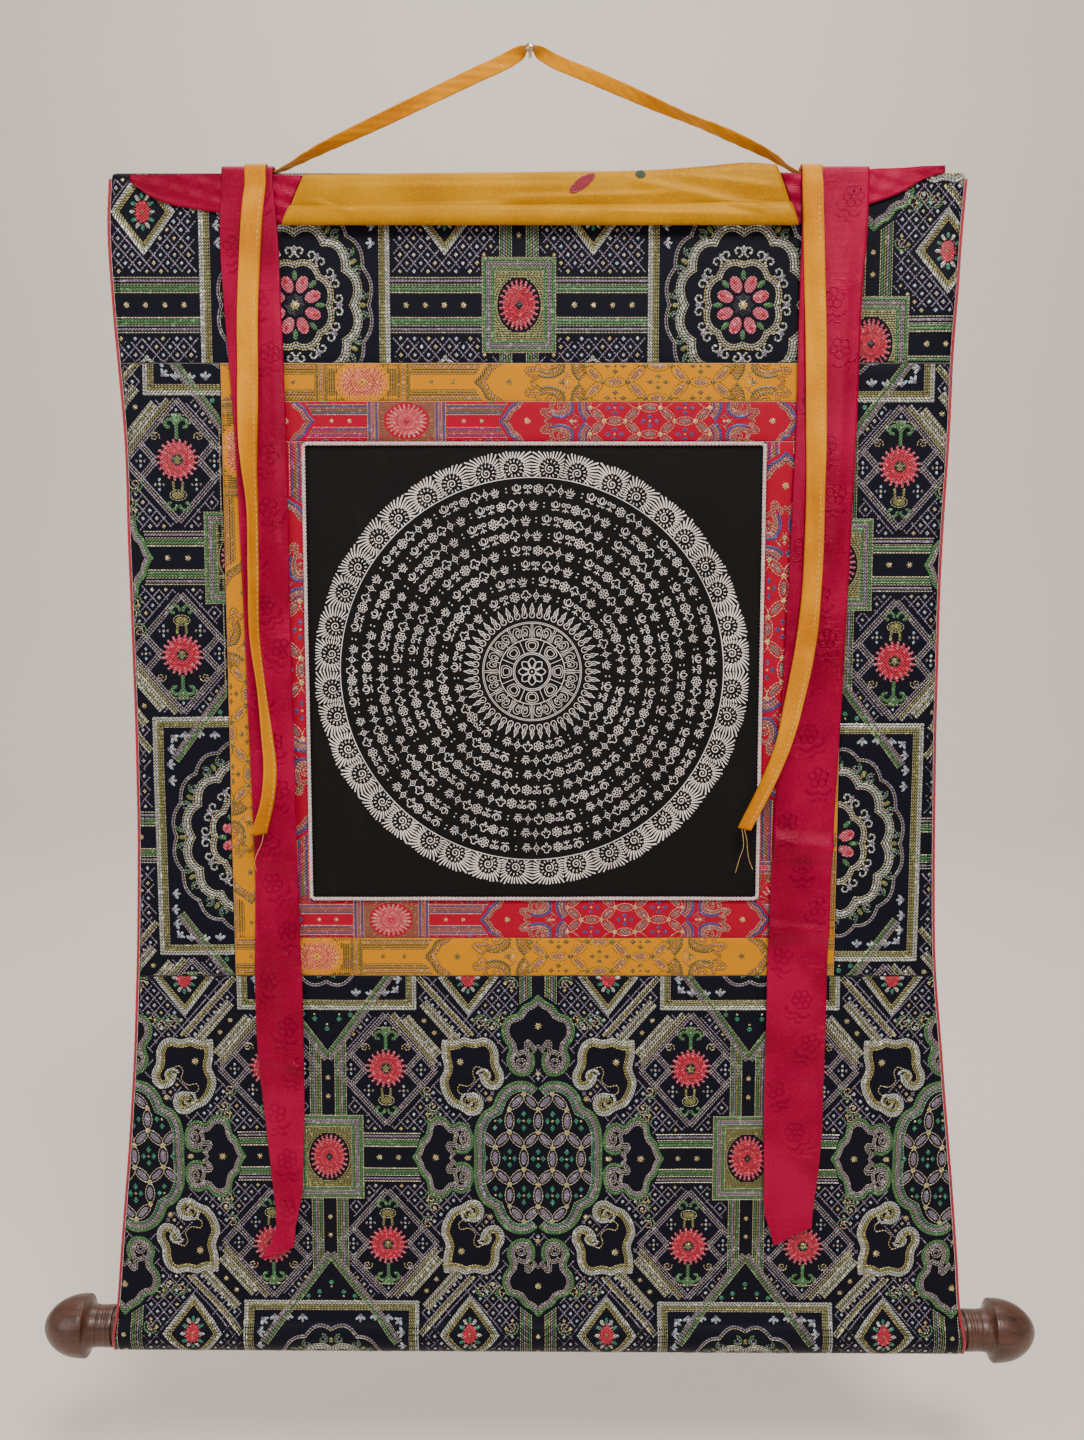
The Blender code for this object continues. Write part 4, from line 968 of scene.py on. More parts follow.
def draw_rosette(d):
    """Half-height frame with its corner cut by the chevron, and a ringed flower in it."""
    cu, cv = 186.0, 240.0
    frame_line = straight_line([(107, 240), (107, 135), (186, 135)])
    d.bands(frame_line, [(-1.1, 2.0, "silver"), (-3.2, 2.0, "silver"), (-5.3, 2.0, "olive"),
                         (-7.3, 1.8, "olive"), (-8.9, 0.8, "cream")], 1.3)
    d.clear([(105, 133), (195, 133), (195, 250), (105, 250)])

    def ring(half_u, half_v, depth, lobes, turn=0.0):
        angle = np.linspace(0, 2 * math.pi, lobes * 8 + 1)
        size = 1 + depth * np.abs(np.sin(angle * lobes / 2 + turn))
        return np.stack([cu + half_u * size * np.cos(angle), cv + half_v * size * np.sin(angle)], -1)

    def petal(colour, half_u, half_v, long, wide, count, turn, rise):
        at = (cu + half_u * math.cos(turn), cv + half_v * math.sin(turn))
        d.fill(colour, ellipse(at, long, wide, count, turn), rise)

    for k in range(8):
        angle = math.radians(45 * k + 22.5)
        petal("pink", 16, 18, 8.2, 5.6, 10, angle, 1.1)
        petal("red", 18, 20, 4.2, 2.8, 6, angle, 2.0)
        petal("green", 21, 24, 5.0, 2.6, 6, math.radians(45 * k), 1.0)
    d.fill("navy", petalled((cu, cv), 9.5, 10.5, 0.8, 8), 2.2)
    d.fill("gold", petalled((cu, cv), 6.4, 7.2, 0.7, 8, 0.2), 3.4)
    for k in range(12):
        for hand in (1, -1):
            turn = math.radians(30 * k + 7.5 * hand)
            at = (cu + 36.5 * math.cos(turn), cv + 43.5 * math.sin(turn))
            d.stroke("silver", 1.7, spiral(at, 4.6, math.degrees(turn) + 180, 1.0, hand, 0.3))
            at = (cu + 56.5 * math.cos(turn), cv + 71 * math.sin(turn))
            d.stroke("green", 1.6, spiral(at, 5.0, math.degrees(turn), 0.9, -hand, 0.4))
            d.stroke("mauve", 1.4, spiral(at, 2.7, math.degrees(turn), 0.8, -hand, 0.5))
        turn = math.radians(30 * k)
        petal("mauve", 37, 45, 4.0, 2.4, 6, turn, 1.0)
        petal("olive", 56, 70, 4.6, 2.4, 6, turn, 1.0)
    for half_u, half_v, depth, lobes, rows in (
            (26, 30, 0.13, 8, [(0, 1.2, "cream"), (2.0, 1.8, "silver"), (4.0, 1.2, "gold")]),
            (45, 55, 0.12, 12, [(0, 1.0, "cream"), (2.2, 2.2, "silver"), (4.6, 2.0, "silver"),
                                (6.6, 0.9, "cream")]),
            (60, 78, 0.06, 16, [(0, 0.9, "cream"), (1.8, 1.6, "mauve")])):
        d.bands(ring(half_u, half_v, depth, lobes), rows, 1.2)
    for u, v, turn in ((124, 152, 45), (135, 149, 90), (147, 148, 90), (121, 163, 0), (120, 176, 0),
                       (121, 190, 0), (160, 149, 90)):
        for spread in (-50, 0, 50):
            angle = math.radians(turn + spread)
            leaf = (u + 3.4 * math.cos(angle), v + 3.4 * math.sin(angle))
            d.fill("blue" if spread else "silver", ellipse(leaf, 3.0, 1.5, 6, angle), 0.9)
        d.fill("mauve", ellipse((u, v), 1.9, 1.9, 6), 1.2)


def draw_corner_diamond(d):
    """A banded lozenge round a small flower."""
    cu, cv = 61.5, 165.0
    for size, width, colour in ((1.0, 1.8, "silver"), (0.92, 1.6, "silver"), (0.83, 2.0, "olive"),
                                (0.75, 0.9, "gold")):
        half_u, half_v = 26 * size, 34 * size
        line = straight_line([(cu - half_u, cv), (cu, cv + half_v), (cu + half_u, cv), (cu, cv - half_v)],
                             closed=True)
        d.stroke(colour, width, line, 1.1)
    for k in range(12):
        angle = math.radians(30 * k)
        leaf = (cu + 8.2 * math.cos(angle), cv + 12.6 * math.sin(angle))
        d.fill("teal" if k % 2 else "silver", ellipse(leaf, 3.4, 1.9, 6, angle), 0.9)
    draw_bloom(d, cu, cv, 7.5, 10.5, 12)
    d.fill("olive", ellipse((cu, cv), 1.8, 2.4, 6), 3.4)
    d.clear([(cu - 28, cv), (cu, cv + 36), (cu + 28, cv), (cu, cv - 36)])


def draw_ground(d):
    """A small lattice with a stud in each mesh, wherever no figure stands."""
    pitch_u, pitch_v = 11.6, 13.3
    length = np.linspace(0, 260.0, 90)
    for k, hand in itertools.product(range(-20, 42), (1, -1)):
        row = np.stack([k * pitch_u + hand * length * pitch_u / pitch_v, length], -1)
        free = d.is_free(row) & (row[:, 0] > -1) & (row[:, 0] < 187) & (row[:, 1] < 241)
        for run in stretches(free):
            d.stroke("mauve", 1.3, row[run][::2 if len(run) > 4 else 1], 0.7)
    for i, j in itertools.product(range(34), range(38)):
        u, v = i * pitch_u / 2, j * pitch_v / 2
        if (i + j) % 2 and d.is_free(np.array([(u, v), (u + 2, v), (u - 2, v)])).all():
            d.fill(("silver", "blue", "gold")[(i + 2 * j) % 3], ellipse((u, v), 1.9, 2.1, 4), 1.0)


def draw_scrolls(d):
    """Loose curls in what room is left between the figures."""
    for u, v, start, hand in ((93, 47, 180, 1), (95, 38, 160, 1), (40, 121, 90, -1), (31, 126, 60, -1),
                              (98, 62, 200, 1), (50, 124, 100, -1), (24, 158, 0, 1)):
        d.stroke("gold", 1.0, spiral((u, v), 4.8, start, 1.1, hand, 0.3))
        d.stroke("green", 1.6, spiral((u, v), 6.8, start + 40, 0.45, hand, 0.9))


def draw_brocade():
    """The whole design, its figures first and then what fills the room between them."""
    d = Design()
    draw_medallion(d)
    draw_trefoil(d, lambda line: line)
    draw_trefoil(d, lambda line: np.stack([57 + (line[:, 1] - 74) * 0.724, line[:, 0] * 1.2], -1))
    draw_cloud(d)
    draw_bars(d)
    draw_square(d, 186.0, 0.0, -1, 1)
    draw_square(d, 0.0, 240.0, 1, -1)
    draw_lotus(d)
    draw_rosette(d)
    draw_corner_diamond(d)
    draw_scrolls(d)
    draw_ground(d)
    return d


def clip_to_quarter(outline):
    """A filled shape, cut at the quarter's sides."""
    for axis, limit, sign in ((0, 0.0, 1), (0, REPEAT_U, -1), (1, 0.0, 1), (1, REPEAT_V, -1)):
        if not len(outline):
            return outline
        kept = []
        depth = (outline[:, axis] - limit) * sign
        for k in range(len(outline)):
            a, b = outline[k - 1], outline[k]
            da, db = depth[k - 1], depth[k]
            if da * db < 0:
                kept.append(a + (b - a) * da / (da - db))
            if db >= 0:
                kept.append(b)
        outline = np.array(kept)
    return outline


class Woven:
    """The design as rings of three points (two edges and a ridge) and as fans."""

    def __init__(self, design, colours):
        rings, uvs, ids, slots = [], [], [], []
        for k, (colour, width, line, rise) in enumerate(design.strokes):
            if len(line) < 2:
                continue
            side = side_of(line) * width / 2
            run = distance_along(line)
            base = np.full(len(line), THREAD_BASE)
            ridge = np.full(len(line), THREAD_RISE * rise)
            edges = [np.column_stack([line + side * hand, base]) for hand in (-1, 1)]
            rings.append(np.stack([*edges, np.column_stack([line, ridge])], 1))
            across = [np.column_stack([run, run * 0 + width / 2 * hand]) for hand in (-1, 1, 0)]
            uvs.append(np.stack(across, 1))
            ids.append(np.full(len(line), k))
            slots.append(np.full(len(line), colours.index(colour)))
        self.rings = np.concatenate(rings)
        self.uvs = np.concatenate(uvs) / 1000
        self.ids = np.concatenate(ids)
        self.slots = np.concatenate(slots)
        self.fans = []
        for colour, outline, rise in design.fills:
            cut = clip_to_quarter(outline)
            if len(cut) < 3:
                continue
            centre = np.clip(outline.mean(0), 0, (REPEAT_U, REPEAT_V))
            self.fans.append((colours.index(colour), cut, centre, rise))


class WovenPanel:
    """One panel's cloth, and the figures that are woven in it so far."""

    def __init__(self, origin, turned, scale, top, foot, at_left, at_right):
        self.origin, self.turned, self.scale = origin, turned, scale
        self.top, self.foot, self.at_left, self.at_right = top, foot, at_left, at_right
        self.points, self.uvs, self.faces, self.slots = [], [], [], []
        self.start = 0

    def tiles(self):
        """The quarters of the design that the panel reaches."""
        wide = edge_level(np.linspace(self.foot, self.top, 40))
        low_x, high_x = float(self.at_left(wide).min()), float(self.at_right(wide).max())
        span = [low_x - self.origin[0], high_x - self.origin[0],
                self.foot - self.origin[1], self.top - self.origin[1]]
        span = [value * 1000 / self.scale for value in span]
        if self.turned:
            span = span[2:] + span[:2]
        columns = range(math.floor(span[0] / REPEAT_U), math.ceil(span[1] / REPEAT_U))
        rows = range(math.floor(span[2] / REPEAT_V), math.ceil(span[3] / REPEAT_V))
        return itertools.product(columns, rows)

    def to_cloth(self, u, v):
        if self.turned:
            u, v = v, u
        return self.origin[0] + u * self.scale / 1000, self.origin[1] + v * self.scale / 1000

    def limits(self, level):
        wide = edge_level(level)
        return self.at_left(wide) + WEAVE_MARGIN, self.at_right(wide) - WEAVE_MARGIN

    def place(self, u, v, lift):
        x, level = self.to_cloth(u, v)
        level = np.clip(level, self.foot + WEAVE_MARGIN, self.top - WEAVE_MARGIN)
        low, high = self.limits(level)
        x = np.clip(x, low, high)
        sides = (low - WEAVE_MARGIN, high + WEAVE_MARGIN)
        return on_cloth(x, level, lift + seam_lift(x, level, sides, self.top, self.foot))

    def is_inside(self, u, v):
        x, level = self.to_cloth(u, v)
        low, high = self.limits(level)
        return ((x > low) & (x < high) & (level > self.foot + WEAVE_MARGIN)
                & (level < self.top - WEAVE_MARGIN))

    def add(self, points, uvs, faces, slots, reverse):
        self.points.append(points)
        self.uvs.append(uvs)
        self.faces += [face[::-1] for face in faces] if reverse else faces
        self.slots += slots
        self.start += len(points)

    def add_threads(self, woven, tile, reverse):
        """The ridges of one tile, each closed at both ends."""
        at = woven.rings[:, 2, :2]
        in_quarter = ((at > -0.5) & (at < (REPEAT_U + 0.5, REPEAT_V + 0.5))).all(1)
        u, v = tile(woven.rings[..., 0], woven.rings[..., 1])
        good = self.is_inside(u[:, 2], v[:, 2])
        joined = woven.ids[1:] == woven.ids[:-1]
        keep = joined & (good[1:] | good[:-1]) & (in_quarter[1:] | in_quarter[:-1])
        if not keep.any():
            return
        used = np.zeros(len(at), bool)
        used[:-1] |= keep
        used[1:] |= keep
        ring_start = self.start + 3 * (np.cumsum(used) - 1)
        k = np.flatnonzero(keep)
        a, b = ring_start[k], ring_start[k + 1]
        quads = np.stack([np.stack([a + p, b + p, b + q, a + q], -1) for p, q in RIDGE_SIDES], 1)
        firsts = np.flatnonzero(keep & ~np.concatenate([[False], keep[:-1]]))
        lasts = np.flatnonzero(keep & ~np.concatenate([keep[1:], [False]]))
        opens, shuts = ring_start[firsts], ring_start[lasts + 1]
        caps = np.concatenate([np.stack([opens, opens + 2, opens + 1], -1),
                               np.stack([shuts, shuts + 1, shuts + 2], -1)])
        slots = np.concatenate([np.repeat(woven.slots[k], 3), woven.slots[firsts], woven.slots[lasts]])
        xyz = self.place(u[used], v[used], woven.rings[used][..., 2])
        self.add(xyz.reshape(-1, 3), woven.uvs[used].reshape(-1, 2),
                 quads.reshape(-1, 4).tolist() + caps.tolist(), slots.tolist(), reverse)

    def add_fan(self, colour, cut, centre, rise, tile, reverse):
        """A filled shape: rings of quads where it is large, and a fan to its middle."""
        middle = tile(centre[:1], centre[1:])
        if not self.is_inside(*middle)[0]:
            return
        count = len(cut)
        rings = 3 if np.abs(cut - centre).max() > LARGE_FILL else 1
        share = np.repeat(np.arange(rings) / rings, count)[:, None]
        flat = np.tile(cut, (rings, 1)) * (1 - share) + centre * share
        lift = THREAD_BASE + (THREAD_RISE * rise - THREAD_BASE) * share[:, 0]
        slope = self.place(*tile(flat[:, 0], flat[:, 1]), lift)
        peak = self.place(*middle, np.array([THREAD_RISE * rise]))
        here = np.arange(count)
        after = (here + 1) % count
        faces = [tuple(range(self.start + count - 1, self.start - 1, -1))]
        for k in range(rings - 1):
            low, high = self.start + k * count, self.start + (k + 1) * count
            faces += np.stack([low + here, low + after, high + after, high + here], -1).tolist()
        last = self.start + (rings - 1) * count
        tip = np.full(count, self.start + rings * count)
        faces += np.stack([last + here, last + after, tip], -1).tolist()
        self.add(np.concatenate([slope, peak]), np.concatenate([flat, centre[None]]) / 1000, faces,
                 [colour] * len(faces), reverse)


def weave(name, woven, materials, slot, origin, turned, scale, top, foot, at_left, at_right):
    """The design's threads over one panel, as closed ridges sunk a little in the cloth."""
    panel = WovenPanel(origin, turned, scale, top, foot, at_left, at_right)
    for i, j in panel.tiles():
        flip_u, flip_v = i % 2 == 1, j % 2 == 1

        def tile(u, v):
            u, v = np.clip(u, 0, REPEAT_U), np.clip(v, 0, REPEAT_V)
            return ((i + 1) * REPEAT_U - u if flip_u else i * REPEAT_U + u,
                    (j + 1) * REPEAT_V - v if flip_v else j * REPEAT_V + v)

        reverse = (flip_u != flip_v) != turned
        panel.add_threads(woven, tile, reverse)
        for fan in woven.fans:
            panel.add_fan(*fan, tile, reverse)
    return add_mesh(name + "_threads", np.concatenate(panel.points), panel.faces, materials, slot,
                    face_slots=panel.slots, uv=np.concatenate(panel.uvs), smooth=False)


# ================================================================ the painted mandala
CENTRE_X, CENTRE_Z = 0.0012, -0.5059
# Radii in millimetres.
RIM, RIM_MIDDLE, RIM_INSIDE = 186.0, 175.0, 163.8
FLAME_FOOT, OUTER_PETALS, INNER_PETALS = 46.0, 34, 22
SHELLS = 40
ORNAMENT_RINGS = (154.0, 141.0, 128.2, 115.5, 102.6, 89.8, 77.0, 64.6)
PAINT_RISE = 0.0001


def around(radius, degrees, along, out):
    """A point near the circle: along it and outwards from it, in millimetres."""
    turn = math.radians(degrees) + np.asarray(along, float) / radius
    reach = radius + np.asarray(out, float)
    return np.stack([reach * np.sin(turn), reach * np.cos(turn)], -1)


def ridges(strokes, base, rise):
    """Strokes of (width, line) as closed ridges. Points are (u, v, height), heights in metres."""
    points, faces = [], []
    start = 0
    for width, line in strokes:
        line = np.asarray(line, float)
        count = len(line)
        side = side_of(line) * width / 2
        rings = np.stack([line - side, line + side, line], 1)
        lift = np.broadcast_to(np.array([base, base, rise]), (count, 3))
        points.append(np.concatenate([rings, lift[..., None]], -1).reshape(-1, 3))
        a = start + 3 * np.arange(count - 1)
        b = a + 3
        for p, q in RIDGE_SIDES:
            faces += np.stack([a + p, b + p, b + q, a + q], -1).tolist()
        last = start + 3 * (count - 1)
        faces += [(start, start + 2, start + 1), (last, last + 1, last + 2)]
        start += 3 * count
    return np.concatenate(points), faces


def circle(radius, width):
    turn = np.linspace(0, 2 * math.pi, max(40, int(radius * 1.6)) + 1)
    return width, np.stack([radius * np.sin(turn), radius * np.cos(turn)], -1)


def mirrored_pair(width, points):
    """A stroke and its mirror image about the mark's middle."""
    line = curved_line(points, step=1.3)
    return [(width, line), (width, line * (-1, 1))]


def ornament(kind):
    """A small painted ornament, the same to the left and right of its middle: (width, points) strokes."""
    dot = [(1.7, np.array([(-0.6, 0.0), (0.6, 0.0)]))]
    if kind == 0:                               # lotus bud on two leaves
        bud = mirrored_pair(1.0, [(0, 4.6), (1.7, 2.6), (1.5, 0.6), (0, -0.8)])
        leaves = mirrored_pair(1.1, [(0.2, -1.2), (2.4, -0.4), (3.6, 1.6), (3.2, 3.2)])
        return bud + leaves + mirrored_pair(1.1, [(0.3, -2.4), (1.8, -3.6), (3.4, -2.8)])
    if kind == 1:                               # two curls from one stem
        curl = spiral((2.1, 1.7), 2.0, 180, 1.1, -1, 0.3)
        stem = [(1.1, np.array([(0, 0.6), (0, -4.2)]))]
        foot = mirrored_pair(1.0, [(0, -2.6), (1.6, -2.2), (2.6, -3.6)])
        return [(1.0, curl), (1.0, curl * (-1, 1)), *stem, *foot]
    if kind == 2:                               # six-petalled flower
        strokes = list(dot)
        for k in range(6):
            angle = k * math.pi / 3
            petal = ellipse((2.9 * math.sin(angle), 2.9 * math.cos(angle)), 1.35, 1.35, 6)
            strokes.append((0.85, closed(petal)))
        return strokes
    if kind == 3:                               # three-lobed cloud
        lobes = [(0, 4.2), (1.8, 3.6), (1.7, 1.8), (3.4, 1.4), (3.7, -0.8), (2.0, -1.8), (1.0, -0.4)]
        return mirrored_pair(1.1, lobes) + mirrored_pair(1.0, [(0, -1.6), (0.9, -3.0), (0, -4.6)])
    if kind == 4:                               # lozenge with a bead at each point
        places = ((0, 4.5), (0, -4.5), (3.8, 0), (-3.8, 0))
        beads = [(1.4, np.array([(x - 0.3, y), (x + 0.3, y)])) for x, y in places]
        return [(1.0, closed(ellipse((0, 0), 2.3, 3.0, 4))), *dot, *beads]
    fan = []                                    # fan of five strokes
    for turn in np.radians((-62, -31, 0, 31, 62)):
        reach = np.array([1.6, 4.6 if turn else 5.2])
        fan.append((1.1, np.stack([reach * math.sin(turn), reach * math.cos(turn) - 1.6], -1)))
    fan += mirrored_pair(1.1, [(0, -1.9), (1.8, -2.2), (3.2, -1.2)])
    return fan + mirrored_pair(1.0, [(0, -3.0), (1.2, -4.2), (2.4, -3.6)])


def paint_rim(strokes, rng):
    """Forty shells, each with rays to the rim and to its neighbours."""
    strokes.append(circle(RIM_INSIDE, 1.0))
    cell = 360 / SHELLS
    half = math.pi * 2 * RIM_MIDDLE / SHELLS / 2
    for k in range(SHELLS):
        mirror = -1 if k % 2 else 1
        at_x, at_y = mirror * (1.6 + rng.uniform(-0.5, 0.5)), -3.6 + rng.uniform(-0.5, 0.5)
        degrees = (k + 0.5) * cell
        curl = spiral((at_x, at_y), 4.2, 120 * mirror, 1.55, mirror, 0.12)
        strokes.append((1.15, around(RIM_MIDDLE, degrees, curl[:, 0], curl[:, 1])))
        for tooth in range(13):
            angle = 2 * math.pi * tooth / 13
            reach = np.array([5.3, 7.3])
            x, y = at_x + reach * math.cos(angle), at_y + reach * math.sin(angle)
            strokes.append((1.25, around(RIM_MIDDLE, degrees, x, y)))
        for ray in range(34):
            angle = 2 * math.pi * (ray + 0.5) / 34
            dx, dy = math.cos(angle), math.sin(angle)
            reach = 60.0
            if dx:
                reach = min(reach, (half * math.copysign(1, dx) - at_x) / dx)
            if dy > 0:
                reach = min(reach, (RIM - RIM_MIDDLE + rng.uniform(-0.5, 0.6) - at_y) / dy)
            elif dy < 0:
                reach = min(reach, (RIM_INSIDE + 0.9 - RIM_MIDDLE - at_y) / dy)
            start = 8.4 if ray % 2 else 9.2
            if reach - start < 1.2:
                continue
            length = np.linspace(start, reach - 0.3, 4)
            bend = 0.017 * mirror * (length - start) ** 2
            width = 1.25 + 0.05 * (reach - start)
            x, y = at_x + length * dx - bend * dy, at_y + length * dy + bend * dx
            strokes.append((width, around(RIM_MIDDLE, degrees, x, y)))


def paint_ornaments(strokes, rng):
    """Rings of small ornaments in turn, with a pair of dots after every sixth."""
    for ring, radius in enumerate(ORNAMENT_RINGS):
        count = int(2 * math.pi * radius / 9.1)
        first = rng.uniform(0, 360)
        for k in range(count):
            degrees = first + 360 * k / count + rng.uniform(-0.3, 0.3)
            place = (k + ring * 2) % 7
            if place == 6:
                for out in (-1.6, 1.6):
                    strokes.append((1.3, around(radius, degrees, [-0.5, 0.6], [out, out + 0.4])))
                continue
            size = rng.uniform(0.94, 1.08)
            tilt = rng.uniform(-0.1, 0.1)
            for width, points in ornament(place):
                points = np.asarray(points, float) * size
                x = points[:, 0] * math.cos(tilt) - points[:, 1] * math.sin(tilt)
                y = points[:, 0] * math.sin(tilt) + points[:, 1] * math.cos(tilt)
                strokes.append((width * 0.78, around(radius, degrees, x, y)))


def paint_flames(strokes):
    """A ring of flames, each with a vein."""
    for k in range(48):
        degrees = 7.5 * k
        for hand in (1, -1):
            outer = curved_line([(0, -0.2), (hand * 1.7, 0.6), (hand * 2.1, 3.0), (hand * 0.9, 5.4),
                                 (hand * 1.5, 7.2), (hand * 0.5, 9.6), (0.3, 12.4)], step=1.6)
            strokes.append((0.85, around(FLAME_FOOT, degrees, outer[:, 0], outer[:, 1])))
        inner = curved_line([(-0.5, 2.2), (0.3, 4.8), (-0.2, 8.2)], step=1.6)
        strokes.append((0.8, around(FLAME_FOOT, degrees, inner[:, 0], inner[:, 1])))


def paint_lotus(strokes):
    """Two rings of petals, and an eight-petalled flower at the middle."""
    for radius, width in ((42.3, 0.6), (41.2, 0.7), (28.0, 0.9), (16.2, 0.8), (14.8, 0.7)):
        strokes.append(circle(radius, width))
    for k in range(12):
        degrees = 30 * k + 15
        for shift in (-0.8, 0.8):
            strokes.append((0.6, around(OUTER_PETALS, degrees + 15, [shift, shift * 0.8], [-5.6, 6.8])))
        for hand in (1, -1):
            for inset in (0.0, 2.3):
                leaf = curved_line([(hand * (6.2 - inset), -4.6 + inset * 0.5), (hand * (7.4 - inset), 0.4),
                                    (hand * (5.4 - inset * 0.9), 4.4 - inset * 0.6),
                                    (hand * 2.0, 4.8 - inset),
                                    (hand * 1.2, 2.4 - inset * 0.9)], step=1.6)
                strokes.append((0.6, around(OUTER_PETALS, degrees, leaf[:, 0], leaf[:, 1])))
            curl = spiral((hand * 2.2, -1.8), 1.9, 90, 1.2, -hand, 0.3)
            strokes.append((0.6, around(OUTER_PETALS, degrees, curl[:, 0], curl[:, 1])))
        strokes.append((0.7, around(OUTER_PETALS, degrees, [0, 0], [-5.6, 3.0])))
    for k in range(8):
        degrees = 45 * k
        strokes.append((0.7, around(INNER_PETALS, degrees + 22.5, [0, 0], [-5.8, 6.0])))
        for size in (1.0, 0.62):
            box = curved_line([(-4.6 * size, -3.6 * size), (-5.4 * size, 3.4 * size),
                               (-2.0 * size, 4.4 * size), (2.0 * size, 4.4 * size),
                               (5.4 * size, 3.4 * size), (4.6 * size, -3.6 * size),
                               (0, -4.2 * size)], closed=True, step=1.6)
            strokes.append((0.75, around(INNER_PETALS, degrees, box[:, 0] * 0.82, box[:, 1])))
    for k in range(8):
        petal = curved_line([(-2.0, 3.4), (-3.2, 7.4), (0, 11.6), (3.2, 7.4), (2.0, 3.4)], step=1.5)
        turn = math.radians(45 * k)
        x = petal[:, 0] * math.cos(turn) + petal[:, 1] * math.sin(turn)
        y = -petal[:, 0] * math.sin(turn) + petal[:, 1] * math.cos(turn)
        strokes.append((0.9, np.stack([x, y], -1)))
    strokes.append(circle(3.2, 1.1))
    strokes.append((1.8, np.array([(-0.6, 0), (0.6, 0)])))


def build_mandala(mats):
    """White line work, with rings of small ornaments between the rim and the flames."""
    rng = random.Random(11)
    strokes = []
    paint_rim(strokes, rng)
    paint_ornaments(strokes, rng)
    paint_flames(strokes)
    paint_lotus(strokes)
    points, faces = ridges(strokes, -0.00005, PAINT_RISE)
    xyz = on_cloth(CENTRE_X + points[:, 0] / 1000, CENTRE_Z + points[:, 1] / 1000, points[:, 2])
    return add_mesh("mandala_line_work", xyz, faces, [mats["paint"]], "painted_canvas",
                    uv=points[:, :2] / 1000, smooth=False)


# ================================================================ the mount's panels
def seam_lift(x, level, sides, top, foot):
    """Each panel sinks at its own seams."""
    near = np.minimum(x - sides[0], sides[1] - x)
    near = np.minimum(near, np.minimum(top - level, level - foot))
    return -SEAM_DEPTH * (1 - ease(np.maximum(near, 0.0) / SEAM_WIDTH))


def cloth_panel(name, top, foot, left, right, levels, material, slot, design=None,
                more=()):
    """A panel's fine sheet and its figures. Its sides are numbers or functions of the level."""
    at_left = left if callable(left) else (lambda z: np.full_like(z, left))
    at_right = right if callable(right) else (lambda z: np.full_like(z, right))
    threads = list(more)
    if design:
        woven, colours, origin, turned, scale = design
        threads.append(weave(name, woven, colours, slot, origin, turned, scale, top, foot, at_left, at_right))
    width_levels = edge_level(levels)
    wide = float((at_right(width_levels) - at_left(width_levels)).mean())
    shares = lines_between(0.0, wide) / wide
    x = at_left(width_levels)[:, None] + np.outer(at_right(width_levels) - at_left(width_levels), shares)
    level = np.broadcast_to(levels[:, None], x.shape)
    sides = (at_left(width_levels)[:, None], at_right(width_levels)[:, None])
    lift = seam_lift(x, level, sides, top, foot)
    front = on_cloth(x, level, lift)
    back = on_cloth(x, level, np.full_like(x, -PANEL))
    points, faces = sheet_mesh(front, back)
    uv = np.stack([x, level], -1).reshape(-1, 2)
    made = add_mesh(name + "_cloth", points, faces, [material], slot, name, uv=np.concatenate([uv, uv]))


def flat_panel(name, material, slot, left=None, right=None, design=None,
               more=()):
    """A panel of the flat cloth, over its CAD node's own box."""
    low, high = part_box(name)
    levels = lines_between(high[2], low[2])
    cloth_panel(name, high[2], low[2], left or low[0], right or high[0], levels,
                material, slot, design, more)


THREADS = ("silver", "olive", "green", "mauve", "cream", "teal", "gold", "pink", "red", "blue", "navy")
# Where each panel's cloth was cut from the design: the medallion's centre, whether the design lies on
# its side, and its scale.
CUTS = {
    "heading_panel": ((-0.0094, 0.039), False, 1.0),
    "heading_end": ((0.2837, 0.0074), False, 1.0),
    "side_panel_left": ((-0.0593, -0.4096), False, 1.0),
    "side_panel_right": ((0.0729, -0.4154), False, 1.0),
    "lower_panel": ((0.0063, -0.9396), False, 1.0),
    "yellow_border_top": ((0.1066, -0.2636), True, 1.03),
    "yellow_border_foot": ((0.06, -0.756), True, 1.03),
    "yellow_border_left": ((-0.244, -0.56), False, 1.0),
    "yellow_border_right": ((0.25, -0.52), False, 1.0),
    "red_border_top": ((0.1002, -0.2956), True, 0.85),
    "red_border_foot": ((0.0821, -0.723), True, 0.85),
    "red_border_left": ((-0.209, -0.505), False, 1.0),
    "red_border_right": ((0.215, -0.47), False, 1.0),
}


